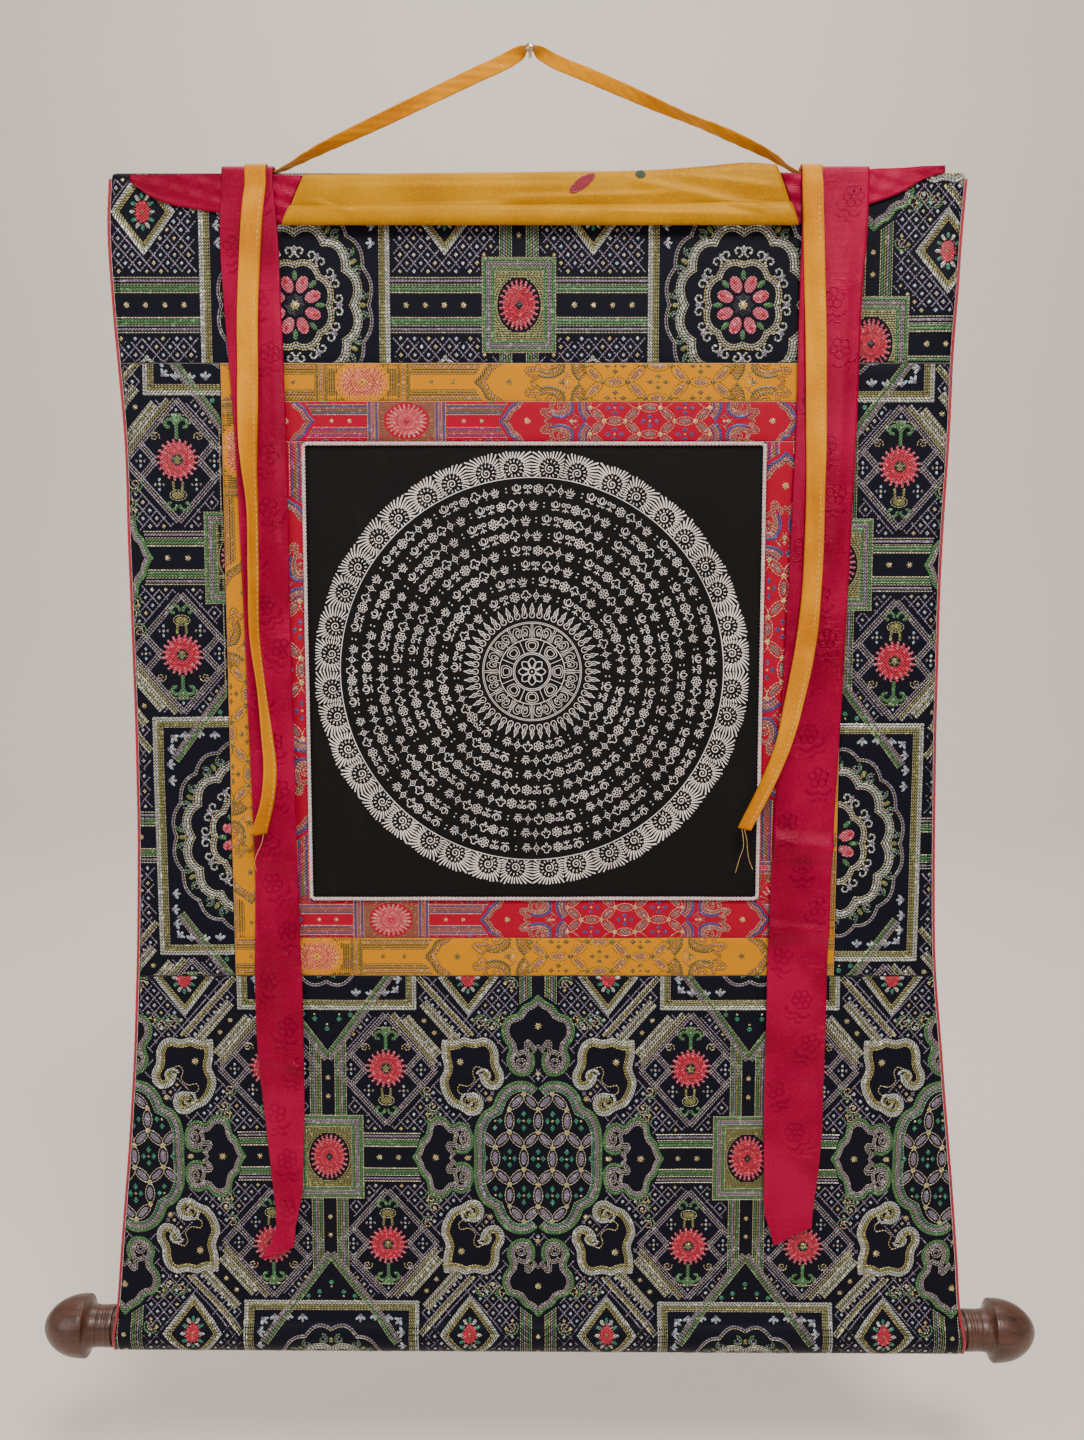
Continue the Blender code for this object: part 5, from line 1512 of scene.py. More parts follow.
def build_panels(mats):
    """The mount's panels, the two borders and the painting, each with its figures."""
    woven = Woven(draw_brocade(), THREADS)
    ways = {}
    for way in ("navy", "yellow", "red"):
        ways[way] = [mats[way + "_" + thread_name] for thread_name in THREADS]
    navy, yellow, red = mats["navy"], mats["yellow"], mats["red"]

    def cut(name, way):
        origin, turned, scale = CUTS[name]
        return woven, ways[way], origin, turned, scale

    fold = PATH_TOP - STRAIGHT
    heading_levels = np.concatenate([
        STRAIGHT + np.linspace(fold, fold - 0.03, 5)[:-1],
        STRAIGHT + np.linspace(fold - 0.03, 0.018, 22)[:-1],
        lines_between(STRAIGHT + 0.018, HEADING_SEAM)[2:],
    ])
    cloth_panel("heading_panel", PATH_TOP, HEADING_SEAM, left_edge, HEADING_END, heading_levels,
                navy, "navy_brocade", cut("heading_panel", "navy"))
    cloth_panel("heading_end", PATH_TOP, HEADING_SEAM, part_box("heading_end")[0][0], right_edge,
                heading_levels,
                navy, "navy_brocade", cut("heading_end", "navy"))
    for name, left, right in (("side_panel_left", left_edge, None), ("side_panel_right", None, right_edge)):
        flat_panel(name, navy, "navy_brocade", left=left, right=right,
                   design=cut(name, "navy"))
    sewn_to = {
        "top": ["heading_panel"],
        "foot": ["yellow_border_left", "yellow_border_right"],
        "left": ["side_panel_left"],
        "right": ["side_panel_right"],
    }
    for side, neighbours in sewn_to.items():
        outer, inner = "yellow_border_" + side, "red_border_" + side
        flat_panel(outer, yellow, "yellow_brocade", design=cut(outer, "yellow"))
        flat_panel(inner, red, "red_brocade", design=cut(inner, "red"))
    flat_panel("painting", mats["canvas"], "painted_canvas",
               more=[build_mandala(mats)])
    roll = PATH_END - ROLL_CREASE
    lower_levels = np.concatenate([
        lines_between(FRAME_FOOT - GAP, ROLL_CREASE + 0.006)[:-3],
        ROLL_CREASE + np.linspace(0.008, -0.004, 7)[:-1],
        ROLL_CREASE + np.linspace(-0.004, roll, 62),
    ])
    cloth_panel("lower_panel", FRAME_FOOT, PATH_END, left_edge, right_edge, lower_levels,
                navy, "navy_brocade",
                cut("lower_panel", "navy"))


# ================================================================ cord and bindings
def tube_mesh(path, radius, sides, closed=False):
    """A round tube through many points. The frame is carried along, so that it doesn't twist."""
    path = np.asarray(path, float)
    if closed:
        along = np.roll(path, -1, 0) - np.roll(path, 1, 0)
    else:
        along = np.gradient(path, axis=0)
    along /= np.linalg.norm(along, axis=1, keepdims=True)
    reference = np.array([0.03, 1.0, 0.02])
    across = np.cross(along, reference)
    across /= np.linalg.norm(across, axis=1, keepdims=True)
    up = np.cross(across, along)
    turn = np.linspace(0, 2 * math.pi, sides, endpoint=False)
    radius = np.broadcast_to(np.asarray(radius, float), (len(path),))[:, None, None]
    ring = np.cos(turn)[None, :, None] * across[:, None] + np.sin(turn)[None, :, None] * up[:, None]
    points = (path[:, None] + ring * radius).reshape(-1, 3)
    count = len(path)
    k = np.arange(count if closed else count - 1)
    after = (k + 1) % count
    faces = []
    for side in range(sides):
        there = (side + 1) % sides
        faces.append(np.stack([k * sides + side, k * sides + there, after * sides + there,
                               after * sides + side], -1))
    faces = [tuple(f) for f in np.concatenate(faces)]
    if not closed:
        faces.append(tuple(range(sides))[::-1])
        faces.append(tuple((count - 1) * sides + s for s in range(sides)))
    return points, faces


def join_parts(parts):
    """Several (points, faces) as one."""
    points, faces, start = [], [], 0
    for some, their in parts:
        points.append(some)
        faces += [tuple(int(v) + start for v in face) for face in their]
        start += len(some)
    return np.concatenate(points), faces


CORD = 0.0017
STRAND = 0.00092
STRAND_OUT = 0.00078
CORD_PITCH = 0.0062


def build_cord(mats):
    """Two strands twisted together, laid along the painting's edge and closed at its foot."""
    left, right = PAINTING_LEFT + CORD, PAINTING_RIGHT - CORD
    top, foot = PAINTING_TOP - CORD, PAINTING_FOOT + CORD
    corner = 0.003
    outline = []
    for cx, cz, start in ((right - corner, top - corner, 90), (right - corner, foot + corner, 0),
                          (left + corner, foot + corner, -90), (left + corner, top - corner, -180)):
        for step in range(7):
            angle = math.radians(start - 90 * step / 6)
            outline.append((cx + corner * math.cos(angle), cz + corner * math.sin(angle)))
    outline = np.array(outline + outline[:1])
    run = np.concatenate([[0], np.cumsum(np.hypot(*np.diff(outline, axis=0).T))])
    turns = round(run[-1] / CORD_PITCH)
    at = np.linspace(0, run[-1], turns * 10, endpoint=False)
    x = np.interp(at, run, outline[:, 0])
    z = np.interp(at, run, outline[:, 1])
    next_x = np.interp((at + 0.0005) % run[-1], run, outline[:, 0])
    next_z = np.interp((at + 0.0005) % run[-1], run, outline[:, 1])
    side = np.stack([next_z - z, np.zeros_like(x), x - next_x], -1)
    side /= np.linalg.norm(side, axis=1, keepdims=True) + 1e-12
    middle = np.stack([x, cloth_front(x, z) - GAP - CORD - 0.0001, z], -1)
    parts = []
    for strand in range(2):
        angle = (2 * math.pi * turns * at / run[-1] + strand * math.pi)[:, None]
        out = side * np.cos(angle) + np.array([0.0, 1.0, 0.0]) * np.sin(angle)
        parts.append(tube_mesh(middle + out * STRAND_OUT, STRAND, 7, closed=True))
    points, faces = join_parts(parts)
    add_mesh("painting_cord_strands", points, faces, [mats["cord"]], "twisted_cord", "painting_cord")


BINDING = 0.0012             # the piping's radius
BINDING_TOP, BINDING_STEP = -0.1, 0.004
BINDING_END = ROLL_CREASE - math.radians(240 - FIRST_TURN) * ROLL


def build_binding(name, edge, side, material):
    """Piping down one side of the cloth and round the end of the roll."""
    levels = np.arange(BINDING_TOP, BINDING_END, -BINDING_STEP)
    wobble = 0.0001 * np.sin(levels * 900)
    x = edge(edge_level(levels)) + side * (GAP + BINDING + wobble)
    path = on_cloth(x, levels, np.full_like(x, -PANEL / 2))
    points, faces = tube_mesh(path, BINDING, 10)
    add_mesh(name + "_piping", points, faces, [material], "red_binding", name)


# ================================================================ wood and brass
SHARP = math.radians(35)     # a lathe's edges that turn more than this stay sharp


def lathe(name, along, radius, sides, place, material, slot, node_name):
    """A turned solid, from stations along its axis and its radius there."""
    turn = np.linspace(0, 2 * math.pi, sides, endpoint=False)
    points = []
    for a, r in zip(along, radius):
        points += [place(a, r * math.cos(t), r * math.sin(t)) for t in turn]
    faces = []
    for k in range(len(along) - 1):
        for side in range(sides):
            there = (side + 1) % sides
            faces.append((k * sides + side, k * sides + there, (k + 1) * sides + there,
                          (k + 1) * sides + side))
    faces.append(tuple(range(sides))[::-1])
    faces.append(tuple((len(along) - 1) * sides + s for s in range(sides)))
    made = add_mesh(name, points, faces, [material], slot, node_name)
    bm = bmesh.new()
    bm.from_mesh(made.data)
    bmesh.ops.recalc_face_normals(bm, faces=bm.faces)
    for edge in bm.edges:
        if len(edge.link_faces) == 2 and edge.calc_face_angle() > SHARP:
            edge.smooth = False
    bm.to_mesh(made.data)
    bm.free()


SHANK = 0.0015
# The nail's outline: distance from the wall, and radius as a multiple of its shank's.
NAIL = [
    (0.0, 1.0), (0.019, 1.0), (0.02, 1.1), (0.02045, 1.5), (0.0206, 2.35), (0.0209, 2.46),
    (0.022, 2.46), (0.0224, 2.4), (0.0229, 2.1), (0.02325, 1.5), (0.0235, 0.3),
]


def build_nail(mats):
    """The nail, turned from its outline."""
    along = [row[0] for row in NAIL]
    radius = [row[1] * SHANK for row in NAIL]
    lathe("nail_turned", along, radius, 40, lambda a, x, z: (x, -a, z), mats["brass"], "brass", "wall_nail")


ROD_LEFT, ROD_RIGHT = -0.3795, 0.3935
FINIAL_LEFT, FINIAL_RIGHT = 0.0635, 0.065
# A finial's outline: share of its length from the cloth outwards, and radius.
FINIAL = [
    (0.0, 0.018), (0.02, 0.0183), (0.12, 0.01815), (0.2, 0.0181), (0.255, 0.0184),
    (0.3, 0.0192), (0.332, 0.0207), (0.352, 0.0226), (0.366, 0.025), (0.372, 0.0266),
    (0.378, 0.0273), (0.392, 0.0275), (0.45, 0.0275), (0.56, 0.0268), (0.68, 0.0246),
    (0.79, 0.0209), (0.88, 0.0161), (0.945, 0.0106), (0.985, 0.0052), (1.0, 0.001),
]
# Grooves cut on the lathe: place along, half width and depth.
GROOVES = [
    (0.06, 0.01, 0.00045), (0.105, 0.008, 0.0003), (0.15, 0.008, 0.00035), (0.215, 0.01, 0.00045),
    (0.425, 0.007, 0.0003), (0.64, 0.006, 0.00016),
]


def build_finial(name, start, side, length, mats):
    """A turned knob with lathe grooves, on the rod's leaning axis."""
    table = np.array(FINIAL)
    along = np.unique(np.concatenate([np.linspace(0, 1, 150), table[:, 0]]))
    radius = smooth_curve(table[:, 0], table[:, 1], along)
    for place, wide, deep in GROOVES:
        radius = radius - deep * np.exp(-((along - place) / wide * 1.6) ** 2)

    def on_rod(a, y, z):
        x = start + side * length * a
        return (x, ROD_Y + y, ROD_Z + z + ROD_LEAN * x)

    lathe(name + "_turned", along, radius, 72, on_rod, mats["dark_wood"], "dark_wood", name)


def finish_cad_wood(mats):
    """The batten and the rod keep their CAD shape and take grained wood."""
    for name, material in (("top_batten", mats["pine"]), ("bottom_dowel", mats["dark_wood"])):
        node_object = frame["nodes"][name]
        for place in node_object.material_slots:
            place.material = material


# ================================================================ silk: strap, veil, sashes, streamers
# The strap's middle line, its width there, and its turn from face-on (0) to flat (90).
STRAP = [
    (-0.232, -0.0091, -0.0937, 0.008, 90), (-0.212, -0.0091, -0.0936, 0.008, 90),
    (-0.204, -0.0092, -0.0904, 0.0085, 84), (-0.185, -0.0096, -0.0812, 0.01, 66),
    (-0.145, -0.0102, -0.0632, 0.011, 40), (-0.095, -0.0108, -0.0408, 0.0115, 16),
    (-0.045, -0.0114, -0.0184, 0.012, 6), (-0.016, -0.0118, -0.0054, 0.012, 16),
    (-0.008, -0.012, -0.0006, 0.0115, 46), (-0.0032, -0.012, 0.0027, 0.011, 84),
    (0.0, -0.012, 0.0031, 0.011, 87), (0.0032, -0.012, 0.0027, 0.011, 84),
    (0.008, -0.012, -0.0006, 0.011, 46), (0.016, -0.0118, -0.0054, 0.011, 20),
    (0.048, -0.0114, -0.0184, 0.011, 14), (0.09, -0.011, -0.0354, 0.011, 38),
    (0.13, -0.0104, -0.0515, 0.011, 66), (0.17, -0.01, -0.0676, 0.0105, 52),
    (0.203, -0.0096, -0.083, 0.009, 70), (0.215, -0.0092, -0.0905, 0.008, 86),
    (0.2215, -0.0091, -0.0936, 0.008, 90), (0.242, -0.0091, -0.0938, 0.008, 90),
]


def build_strap(mats):
    """The strap from behind the batten, over the nail and back, turning as it goes."""
    table = np.array(STRAP)
    run = np.concatenate([[0], np.cumsum(np.hypot(np.diff(table[:, 0]), np.diff(table[:, 2])))])
    at = np.unique(np.concatenate([np.arange(0, run[-1], 0.0022), run]))
    x, y, z, wide, turn = (smooth_curve(run, table[:, k], at) for k in range(5))
    along = np.stack([np.gradient(x, at), np.gradient(z, at)], -1)
    along /= np.linalg.norm(along, axis=1, keepdims=True)
    turn = np.radians(np.clip(turn, 0, 90))
    up = np.stack([-along[:, 1] * np.cos(turn), -np.sin(turn), along[:, 0] * np.cos(turn)], -1)
    out = np.stack([along[:, 1] * np.sin(turn), -np.cos(turn), -along[:, 0] * np.sin(turn)], -1)
    shares = np.linspace(-0.5, 0.5, 11)
    cup = 0.0006 * np.sin(at * 55)[:, None] * (shares[None] * 2) ** 2
    cup += 0.00025 * np.sin(at[:, None] * 410 + 10 * shares[None])
    middle = np.stack([x, y, z], -1)[:, None] + up[:, None] * (wide[:, None] * shares[None])[..., None]
    middle = middle + out[:, None] * cup[..., None]
    sheet_piece("strap_ribbon", middle, mats["ribbon"], "orange_ribbon", "hanging_strap")


def crease(x, z, start, end, wide, height, skew):
    """A soft ridge (or, below zero, a hollow) along a line from start to end."""
    ax, az = start
    dx, dz = end[0] - ax, end[1] - az
    size = math.hypot(dx, dz)
    along = ((x - ax) * dx + (z - az) * dz) / size**2
    off = ((x - ax) * -dz + (z - az) * dx) / size
    fade = ease(along / 0.2 + 0.5) * ease((1 - along) / 0.2 + 0.5)
    lean_off = off / wide
    shape = np.exp(-np.where(lean_off > 0, (lean_off * (1 + skew)) ** 2, (lean_off * (1 - skew)) ** 2))
    return height * fade * shape


VEIL_LEFT, VEIL_RIGHT = -0.1845, 0.201
VEIL_SLANT = 0.019           # how far the bundle's ends spread from top to foot
VEIL_FOOT = -0.1385
VEIL_TOP = [
    (-0.185, -0.098), (-0.078, -0.0968), (0.031, -0.0957), (0.1, -0.0944), (0.146, -0.0912),
    (0.179, -0.0886), (0.202, -0.0901),
]
# The folded veil's section: distance in front of the heading, share of its height.
VEIL_SECTION = [
    (0.0009, 0.93), (0.0009, 0.5), (0.0009, 0.08), (0.0013, 0.052), (0.0022, 0.052), (0.0026, 0.08),
    (0.0026, 0.5), (0.0026, 0.9), (0.003, 0.928), (0.0039, 0.928), (0.0043, 0.9), (0.0043, 0.5),
    (0.0043, 0.075), (0.0047, 0.03), (0.0062, 0.012), (0.0078, 0.06), (0.0087, 0.2), (0.0084, 0.4),
    (0.0074, 0.56), (0.0064, 0.75), (0.0064, 0.92), (0.0072, 0.975), (0.0096, 0.988), (0.0122, 0.93),
    (0.0132, 0.81), (0.0122, 0.69), (0.0102, 0.63), (0.0084, 0.66),
]
FRONT_FOLD, FRONT_END = 12, 21   # the section's points between which the fold that shows lies
SECTION_HEIGHT = 0.04        # the height that its steps are measured at
VEIL_CREASES = [
    ((-0.17, -0.126), (-0.02, -0.1215), 0.0024, 0.0011), ((-0.15, -0.1075), (0.03, -0.1065), 0.003, 0.0008),
    ((-0.02, -0.117), (0.12, -0.113), 0.0026, 0.0012), ((0.085, -0.103), (0.19, -0.1245), 0.0034, 0.0015),
    ((0.12, -0.098), (0.2, -0.108), 0.0028, 0.0011), ((0.06, -0.127), (0.185, -0.131), 0.0024, 0.001),
    ((-0.18, -0.118), (-0.145, -0.129), 0.0022, 0.0009), ((0.14, -0.118), (0.195, -0.133), 0.0022, -0.0007),
]


def resample(points, step):
    """Rounded points along a many-cornered line, this far apart."""
    points = np.asarray(points, float)
    run = distance_along(points)
    at = np.linspace(0, run[-1], max(4, int(run[-1] / step)))
    line = np.stack([smooth_curve(run, points[:, k], at) for k in range(points.shape[1])], -1)
    return line, np.interp(at, run, np.arange(len(points)))


def build_veil(mats):
    """The yellow cover, folded up into a roll, with soft creases along it."""
    top_x, top_z = np.array(VEIL_TOP).T
    section = [(out, VEIL_FOOT + (1 - down) * SECTION_HEIGHT) for out, down in VEIL_SECTION]
    line, index = resample(section, 0.0013)
    down = 1 - (line[:, 1] - VEIL_FOOT) / SECTION_HEIGHT
    share = np.linspace(0, 1, 120)
    x = VEIL_LEFT + (VEIL_RIGHT - VEIL_LEFT) * share[None] + VEIL_SLANT * (2 * share[None] - 1) * down[:,
                                                                                                       None]
    top = smooth_curve(top_x, top_z, VEIL_LEFT + (VEIL_RIGHT - VEIL_LEFT) * share)
    z = top[None] + (VEIL_FOOT - top[None]) * down[:, None]
    shown = ease((index - FRONT_FOLD) / 2.5)[:, None]
    push = np.zeros_like(x)
    for start, end, wide, height in VEIL_CREASES:
        push += crease(x, z, start, end, wide, height, 0.35)
    push += 0.00012 * np.sin(x * 90 + z * 200) + 0.00008 * np.sin(x * 210 - z * 300 + 1)
    y = TOP_FRONT - line[:, :1] - push * shown
    middle = np.stack([x, y, z], -1)
    front = middle[(index > FRONT_FOLD + 1) & (index < FRONT_END)].reshape(-1, 3)
    spots = [veil_spot("veil_dash", front, (0.0425, -0.1055), (0.0125, 0.0042), 0.62, mats["veil_paint"]),
             veil_spot("veil_dot", front, (0.09, -0.0985), (0.0042, 0.0032), 0.0, mats["veil_green"])]
    sheet_piece("veil_bundle", middle, mats["mustard"], "mustard_silk", "veil_yellow")


def veil_spot(name, front, centre, half, turn, material):
    """A rounded spot of colour on the veil, made of side by side lines of print."""
    strokes = []
    for row in np.linspace(-0.92, 0.92, 9):
        reach = half[0] * 1000 * math.sqrt(1 - row * row)
        line = np.stack([np.linspace(-reach, reach, 12), np.full(12, row * half[1] * 1000)], -1)
        spin = np.array([[math.cos(turn), math.sin(turn)], [-math.sin(turn), math.cos(turn)]])
        strokes.append((half[1] * 1000 * 0.27, line @ spin + np.array(centre) * 1000))
    points, faces = ridges(strokes, -0.00008, 0.0001)
    near = ((points[:, None, :2] / 1000 - front[None, :, ::2]) ** 2).sum(-1).argsort(axis=1)[:, :4]
    y = front[near, 1].min(axis=1) - SILK / 2 - points[:, 2] - 0.00012
    return add_mesh(name, np.stack([points[:, 0] / 1000, y, points[:, 1] / 1000], -1), faces, [material],
                    "mustard_silk")


CRIMSON_LEFT = [
    (-0.328, -0.0975, -0.103), (-0.312, -0.097, -0.115), (-0.295, -0.097, -0.1215),
    (-0.274, -0.0962, -0.1255), (-0.252, -0.096, -0.129), (-0.224, -0.0962, -0.135),
    (-0.185, -0.0975, -0.1385),
]
CRIMSON_RIGHT = [
    (0.2015, -0.095, -0.1385), (0.223, -0.0955, -0.137), (0.25, -0.095, -0.13),
    (0.279, -0.0925, -0.1215), (0.305, -0.0915, -0.1115), (0.326, -0.0905, -0.0995),
    (0.34, -0.09, -0.0955),
]
CRIMSON_SECTION = [
    (0.0008, 0.08), (0.0008, 0.45), (0.0008, 0.82), (0.0012, 0.96), (0.002, 0.96),
    (0.0024, 0.82), (0.0027, 0.45), (0.0024, 0.02),
]
CRIMSON_HEIGHT = 0.03
VEIL_APART = 0.0012          # between the bundle's ends and the crimson sides


def build_crimson(name, stations, inner, mats):
    """The veil's crimson side, folded double. The end beside the bundle follows its slant."""
    table = np.array(stations)
    side = math.copysign(1.0, table[inner, 0])
    at = np.linspace(table[0, 0], table[-1, 0], 56)
    top = smooth_curve(table[:, 0], table[:, 1], at)
    foot = smooth_curve(table[:, 0], table[:, 2], at)
    line, index = resample([(out, -CRIMSON_HEIGHT * down) for out, down in CRIMSON_SECTION], 0.0012)
    down = -line[:, 1] / CRIMSON_HEIGHT
    z = top[None] + (foot - top)[None] * down[:, None]
    bundle_top = float(smooth_curve(*np.array(VEIL_TOP).T, table[inner, 0]))
    span = abs(table[-1, 0] - table[0, 0])
    near = np.clip(1 - np.abs(at - table[inner, 0]) / (span * 0.16), 0, 1)
    shift = side * (VEIL_SLANT * (bundle_top - z) / (bundle_top - VEIL_FOOT) + VEIL_APART)
    x = at[None] + shift * near[None]
    shown = ease((index - 4) / 1.5)[:, None]
    push = 0.0004 * np.sin(x * 150 + z * 500) + 0.0003 * np.sin(x * 330 - z * 200 + 2)
    y = TOP_FRONT - line[:, :1] - (push + 0.0003) * shown
    middle = np.stack([x, y, z], -1)
    sheet_piece(name + "_silk", middle, mats["crimson"], "crimson_silk", name)


SASH_BACK, SASH_TOP, SASH_FRONT = -0.0024, -0.0905, -0.0204
SASH_TAIL = -0.15
STREAMER_BACK, STREAMER_TOP, STREAMER_FRONT = -0.0011, -0.0888, -0.0222
STREAMER_TAIL = -0.125
STREAMER = 0.017
LOOP_RISE = 0.009
TIP_LEFT, TIP_RIGHT = -0.99, -0.98   # below these levels a sash's outline is cut straight

# Each sash: level, edges, and how far it stands out beyond its clearance.
SASH_ROWS_LEFT = [
    (-0.105, -0.2525, -0.2105, 0.0), (-0.138, -0.255, -0.208, 0.0004), (-0.21, -0.253, -0.206, 0.001),
    (-0.295, -0.248, -0.2045, 0.0006), (-0.39, -0.245, -0.204, 0.0012), (-0.478, -0.243, -0.204, 0.0004),
    (-0.57, -0.241, -0.203, 0.0014), (-0.655, -0.239, -0.202, 0.0024), (-0.68, -0.239, -0.202, 0.0006),
    (-0.735, -0.24, -0.201, 0.0016), (-0.793, -0.2415, -0.2, 0.001), (-0.84, -0.2405, -0.2, 0.0018),
    (-0.893, -0.2365, -0.2005, 0.0008), (-0.94, -0.232, -0.202, 0.0012), (-0.976, -0.2285, -0.2045, 0.0016),
    (-1.002, -0.2272, -0.21, 0.002), (-1.012, -0.231, -0.2105, 0.0026), (-1.021, -0.235, -0.2124, 0.0032),
    (-1.027, -0.2385, -0.226, 0.0034), (-1.031, -0.241, -0.2365, 0.0034),
]
SASH_ROWS_RIGHT = [
    (-0.105, 0.223, 0.2778, 0.0), (-0.138, 0.2232, 0.2773, 0.0006), (-0.191, 0.2226, 0.2746, 0.0012),
    (-0.294, 0.2222, 0.2731, 0.0004), (-0.385, 0.2196, 0.2705, 0.0014), (-0.478, 0.2167, 0.2676, 0.0008),
    (-0.57, 0.213, 0.2644, 0.0016), (-0.643, 0.2098, 0.2617, 0.0008), (-0.66, 0.2092, 0.2611, 0.003),
    (-0.676, 0.2088, 0.2608, 0.0008), (-0.73, 0.2072, 0.2595, 0.0024), (-0.748, 0.2068, 0.2591, 0.0006),
    (-0.8, 0.2062, 0.2586, 0.0018), (-0.86, 0.206, 0.258, 0.001), (-0.92, 0.2059, 0.2572, 0.0016),
    (-0.965, 0.207, 0.2535, 0.0012), (-0.99, 0.2077, 0.2507, 0.0018), (-1.002, 0.2118, 0.2501, 0.003),
    (-1.01, 0.2142, 0.233, 0.0034), (-1.018, 0.216, 0.219, 0.0034),
]
# Each streamer: level, edges as seen from the front, and how far it stands out.
STREAMER_ROWS_LEFT = [
    (-0.105, -0.2332, -0.216, 0.0), (-0.128, -0.2355, -0.2192, 0.0006), (-0.165, -0.239, -0.2224, 0.001),
    (-0.198, -0.2413, -0.2247, 0.001), (-0.271, -0.2431, -0.2265, 0.0012), (-0.31, -0.242, -0.228, 0.0014),
    (-0.334, -0.2396, -0.2288, 0.0016), (-0.36, -0.2361, -0.2286, 0.002), (-0.42, -0.2358, -0.2292, 0.0024),
    (-0.478, -0.2355, -0.2296, 0.0026), (-0.521, -0.2299, -0.2252, 0.0028),
    (-0.555, -0.2274, -0.2208, 0.0028), (-0.589, -0.2261, -0.2176, 0.003),
    (-0.615, -0.2293, -0.2198, 0.0034), (-0.644, -0.2385, -0.2265, 0.004),
]
STREAMER_ROWS_RIGHT = [
    (-0.105, 0.2225, 0.2388, 0.0), (-0.15, 0.2245, 0.241, 0.0008), (-0.22, 0.2275, 0.244, 0.0012),
    (-0.296, 0.2299, 0.2465, 0.0014), (-0.361, 0.2313, 0.2446, 0.0016), (-0.403, 0.2305, 0.2447, 0.0018),
    (-0.445, 0.2288, 0.2432, 0.0022), (-0.478, 0.2253, 0.2422, 0.0028), (-0.529, 0.2162, 0.2306, 0.0044),
    (-0.572, 0.2068, 0.2178, 0.0068), (-0.606, 0.1928, 0.2031, 0.0096), (-0.638, 0.1771, 0.1865, 0.012),
]
# Soft creases: from, to, half width, height towards the room.
SASH_CREASES_LEFT = [
    ((-0.25, -0.3), (-0.246, -0.56), 0.006, 0.001), ((-0.212, -0.18), (-0.216, -0.42), 0.006, 0.0011),
    ((-0.238, -0.666), (-0.203, -0.676), 0.0036, 0.002), ((-0.24, -0.69), (-0.203, -0.699), 0.006, -0.0006),
    ((-0.24, -0.757), (-0.202, -0.755), 0.003, 0.0016), ((-0.24, -0.843), (-0.202, -0.856), 0.0034, 0.002),
    ((-0.222, -0.69), (-0.214, -0.84), 0.006, 0.0012), ((-0.228, -0.87), (-0.216, -0.99), 0.006, 0.0013),
]
SASH_CREASES_RIGHT = [
    ((0.262, -0.16), (0.256, -0.42), 0.007, 0.0012), ((0.24, -0.42), (0.232, -0.64), 0.008, 0.001),
    ((0.21, -0.65), (0.262, -0.658), 0.006, 0.0024), ((0.209, -0.672), (0.26, -0.676), 0.003, -0.0008),
    ((0.207, -0.728), (0.26, -0.733), 0.005, 0.0022), ((0.207, -0.747), (0.259, -0.744), 0.003, -0.0007),
    ((0.226, -0.76), (0.236, -0.9), 0.008, 0.0013), ((0.246, -0.78), (0.24, -0.96), 0.007, 0.0012),
    ((0.207, -0.868), (0.258, -0.858), 0.004, 0.001),
]


def with_tail(hanging, back, front, top, tail):
    """A hanging strip's rows, after those of its tail behind the heading and its turn over the top."""
    centre, reach = (back + front) / 2, (back - front) / 2
    foot = top - LOOP_RISE
    line = [(back, z) for z in np.linspace(tail, foot, 8)[:-1]]
    for angle in np.linspace(0, math.pi, 31):
        flat, rise = abs(math.cos(angle)) ** (2 / 3), abs(math.sin(angle)) ** (2 / 3)
        line.append((centre + reach * math.copysign(flat, math.cos(angle)), foot + LOOP_RISE * rise))
    across = np.broadcast_to(hanging[0, :, 0], (len(line), hanging.shape[1]))
    y, z = (np.broadcast_to(column[:, None], across.shape) for column in np.array(line).T)
    return np.concatenate([np.stack([across, y, z], -1), hanging])


def table_at(table, column, z, tip):
    """A column of a table at these levels: smooth, and straight below the tip's level."""
    rows = np.array(table)[::-1]
    straight = np.interp(z, rows[:, 0], rows[:, column])
    return np.where(z > tip, smooth_curve(rows[:, 0], rows[:, column], z), straight)


def strip_levels(table, step):
    """Levels down a strip in even steps, with one at each of the table's rows."""
    rows = np.array(table)
    levels = [rows[0, 0]]
    for low in rows[1:, 0]:
        count = max(1, round((levels[-1] - low) / step))
        levels += np.linspace(levels[-1], low, count + 1)[1:].tolist()
    return np.array(levels)


def sash_front(table, x, z, tip, creases):
    """How far forward a sash's middle stands."""
    middle = (table_at(table, 1, z, tip) + table_at(table, 2, z, tip)) / 2
    y = np.minimum(SASH_FRONT, cloth_front(middle, z) - CLEAR - SILK / 2)
    y = np.minimum(y, cloth_front(table_at(table, 1, z, tip), z) - CLEAR - SILK / 2)
    push = table_at(table, 3, z, tip)
    fine = np.zeros_like(x)
    for start, end, wide, height in creases:
        fine = fine + crease(x, z, start, end, wide, height, 0.3)
    fine = fine + 0.0003 * np.sin(x * 210 + z * 37) * np.sin(z * 61)
    return y - push - fine * ease((-0.112 - z) / 0.03)


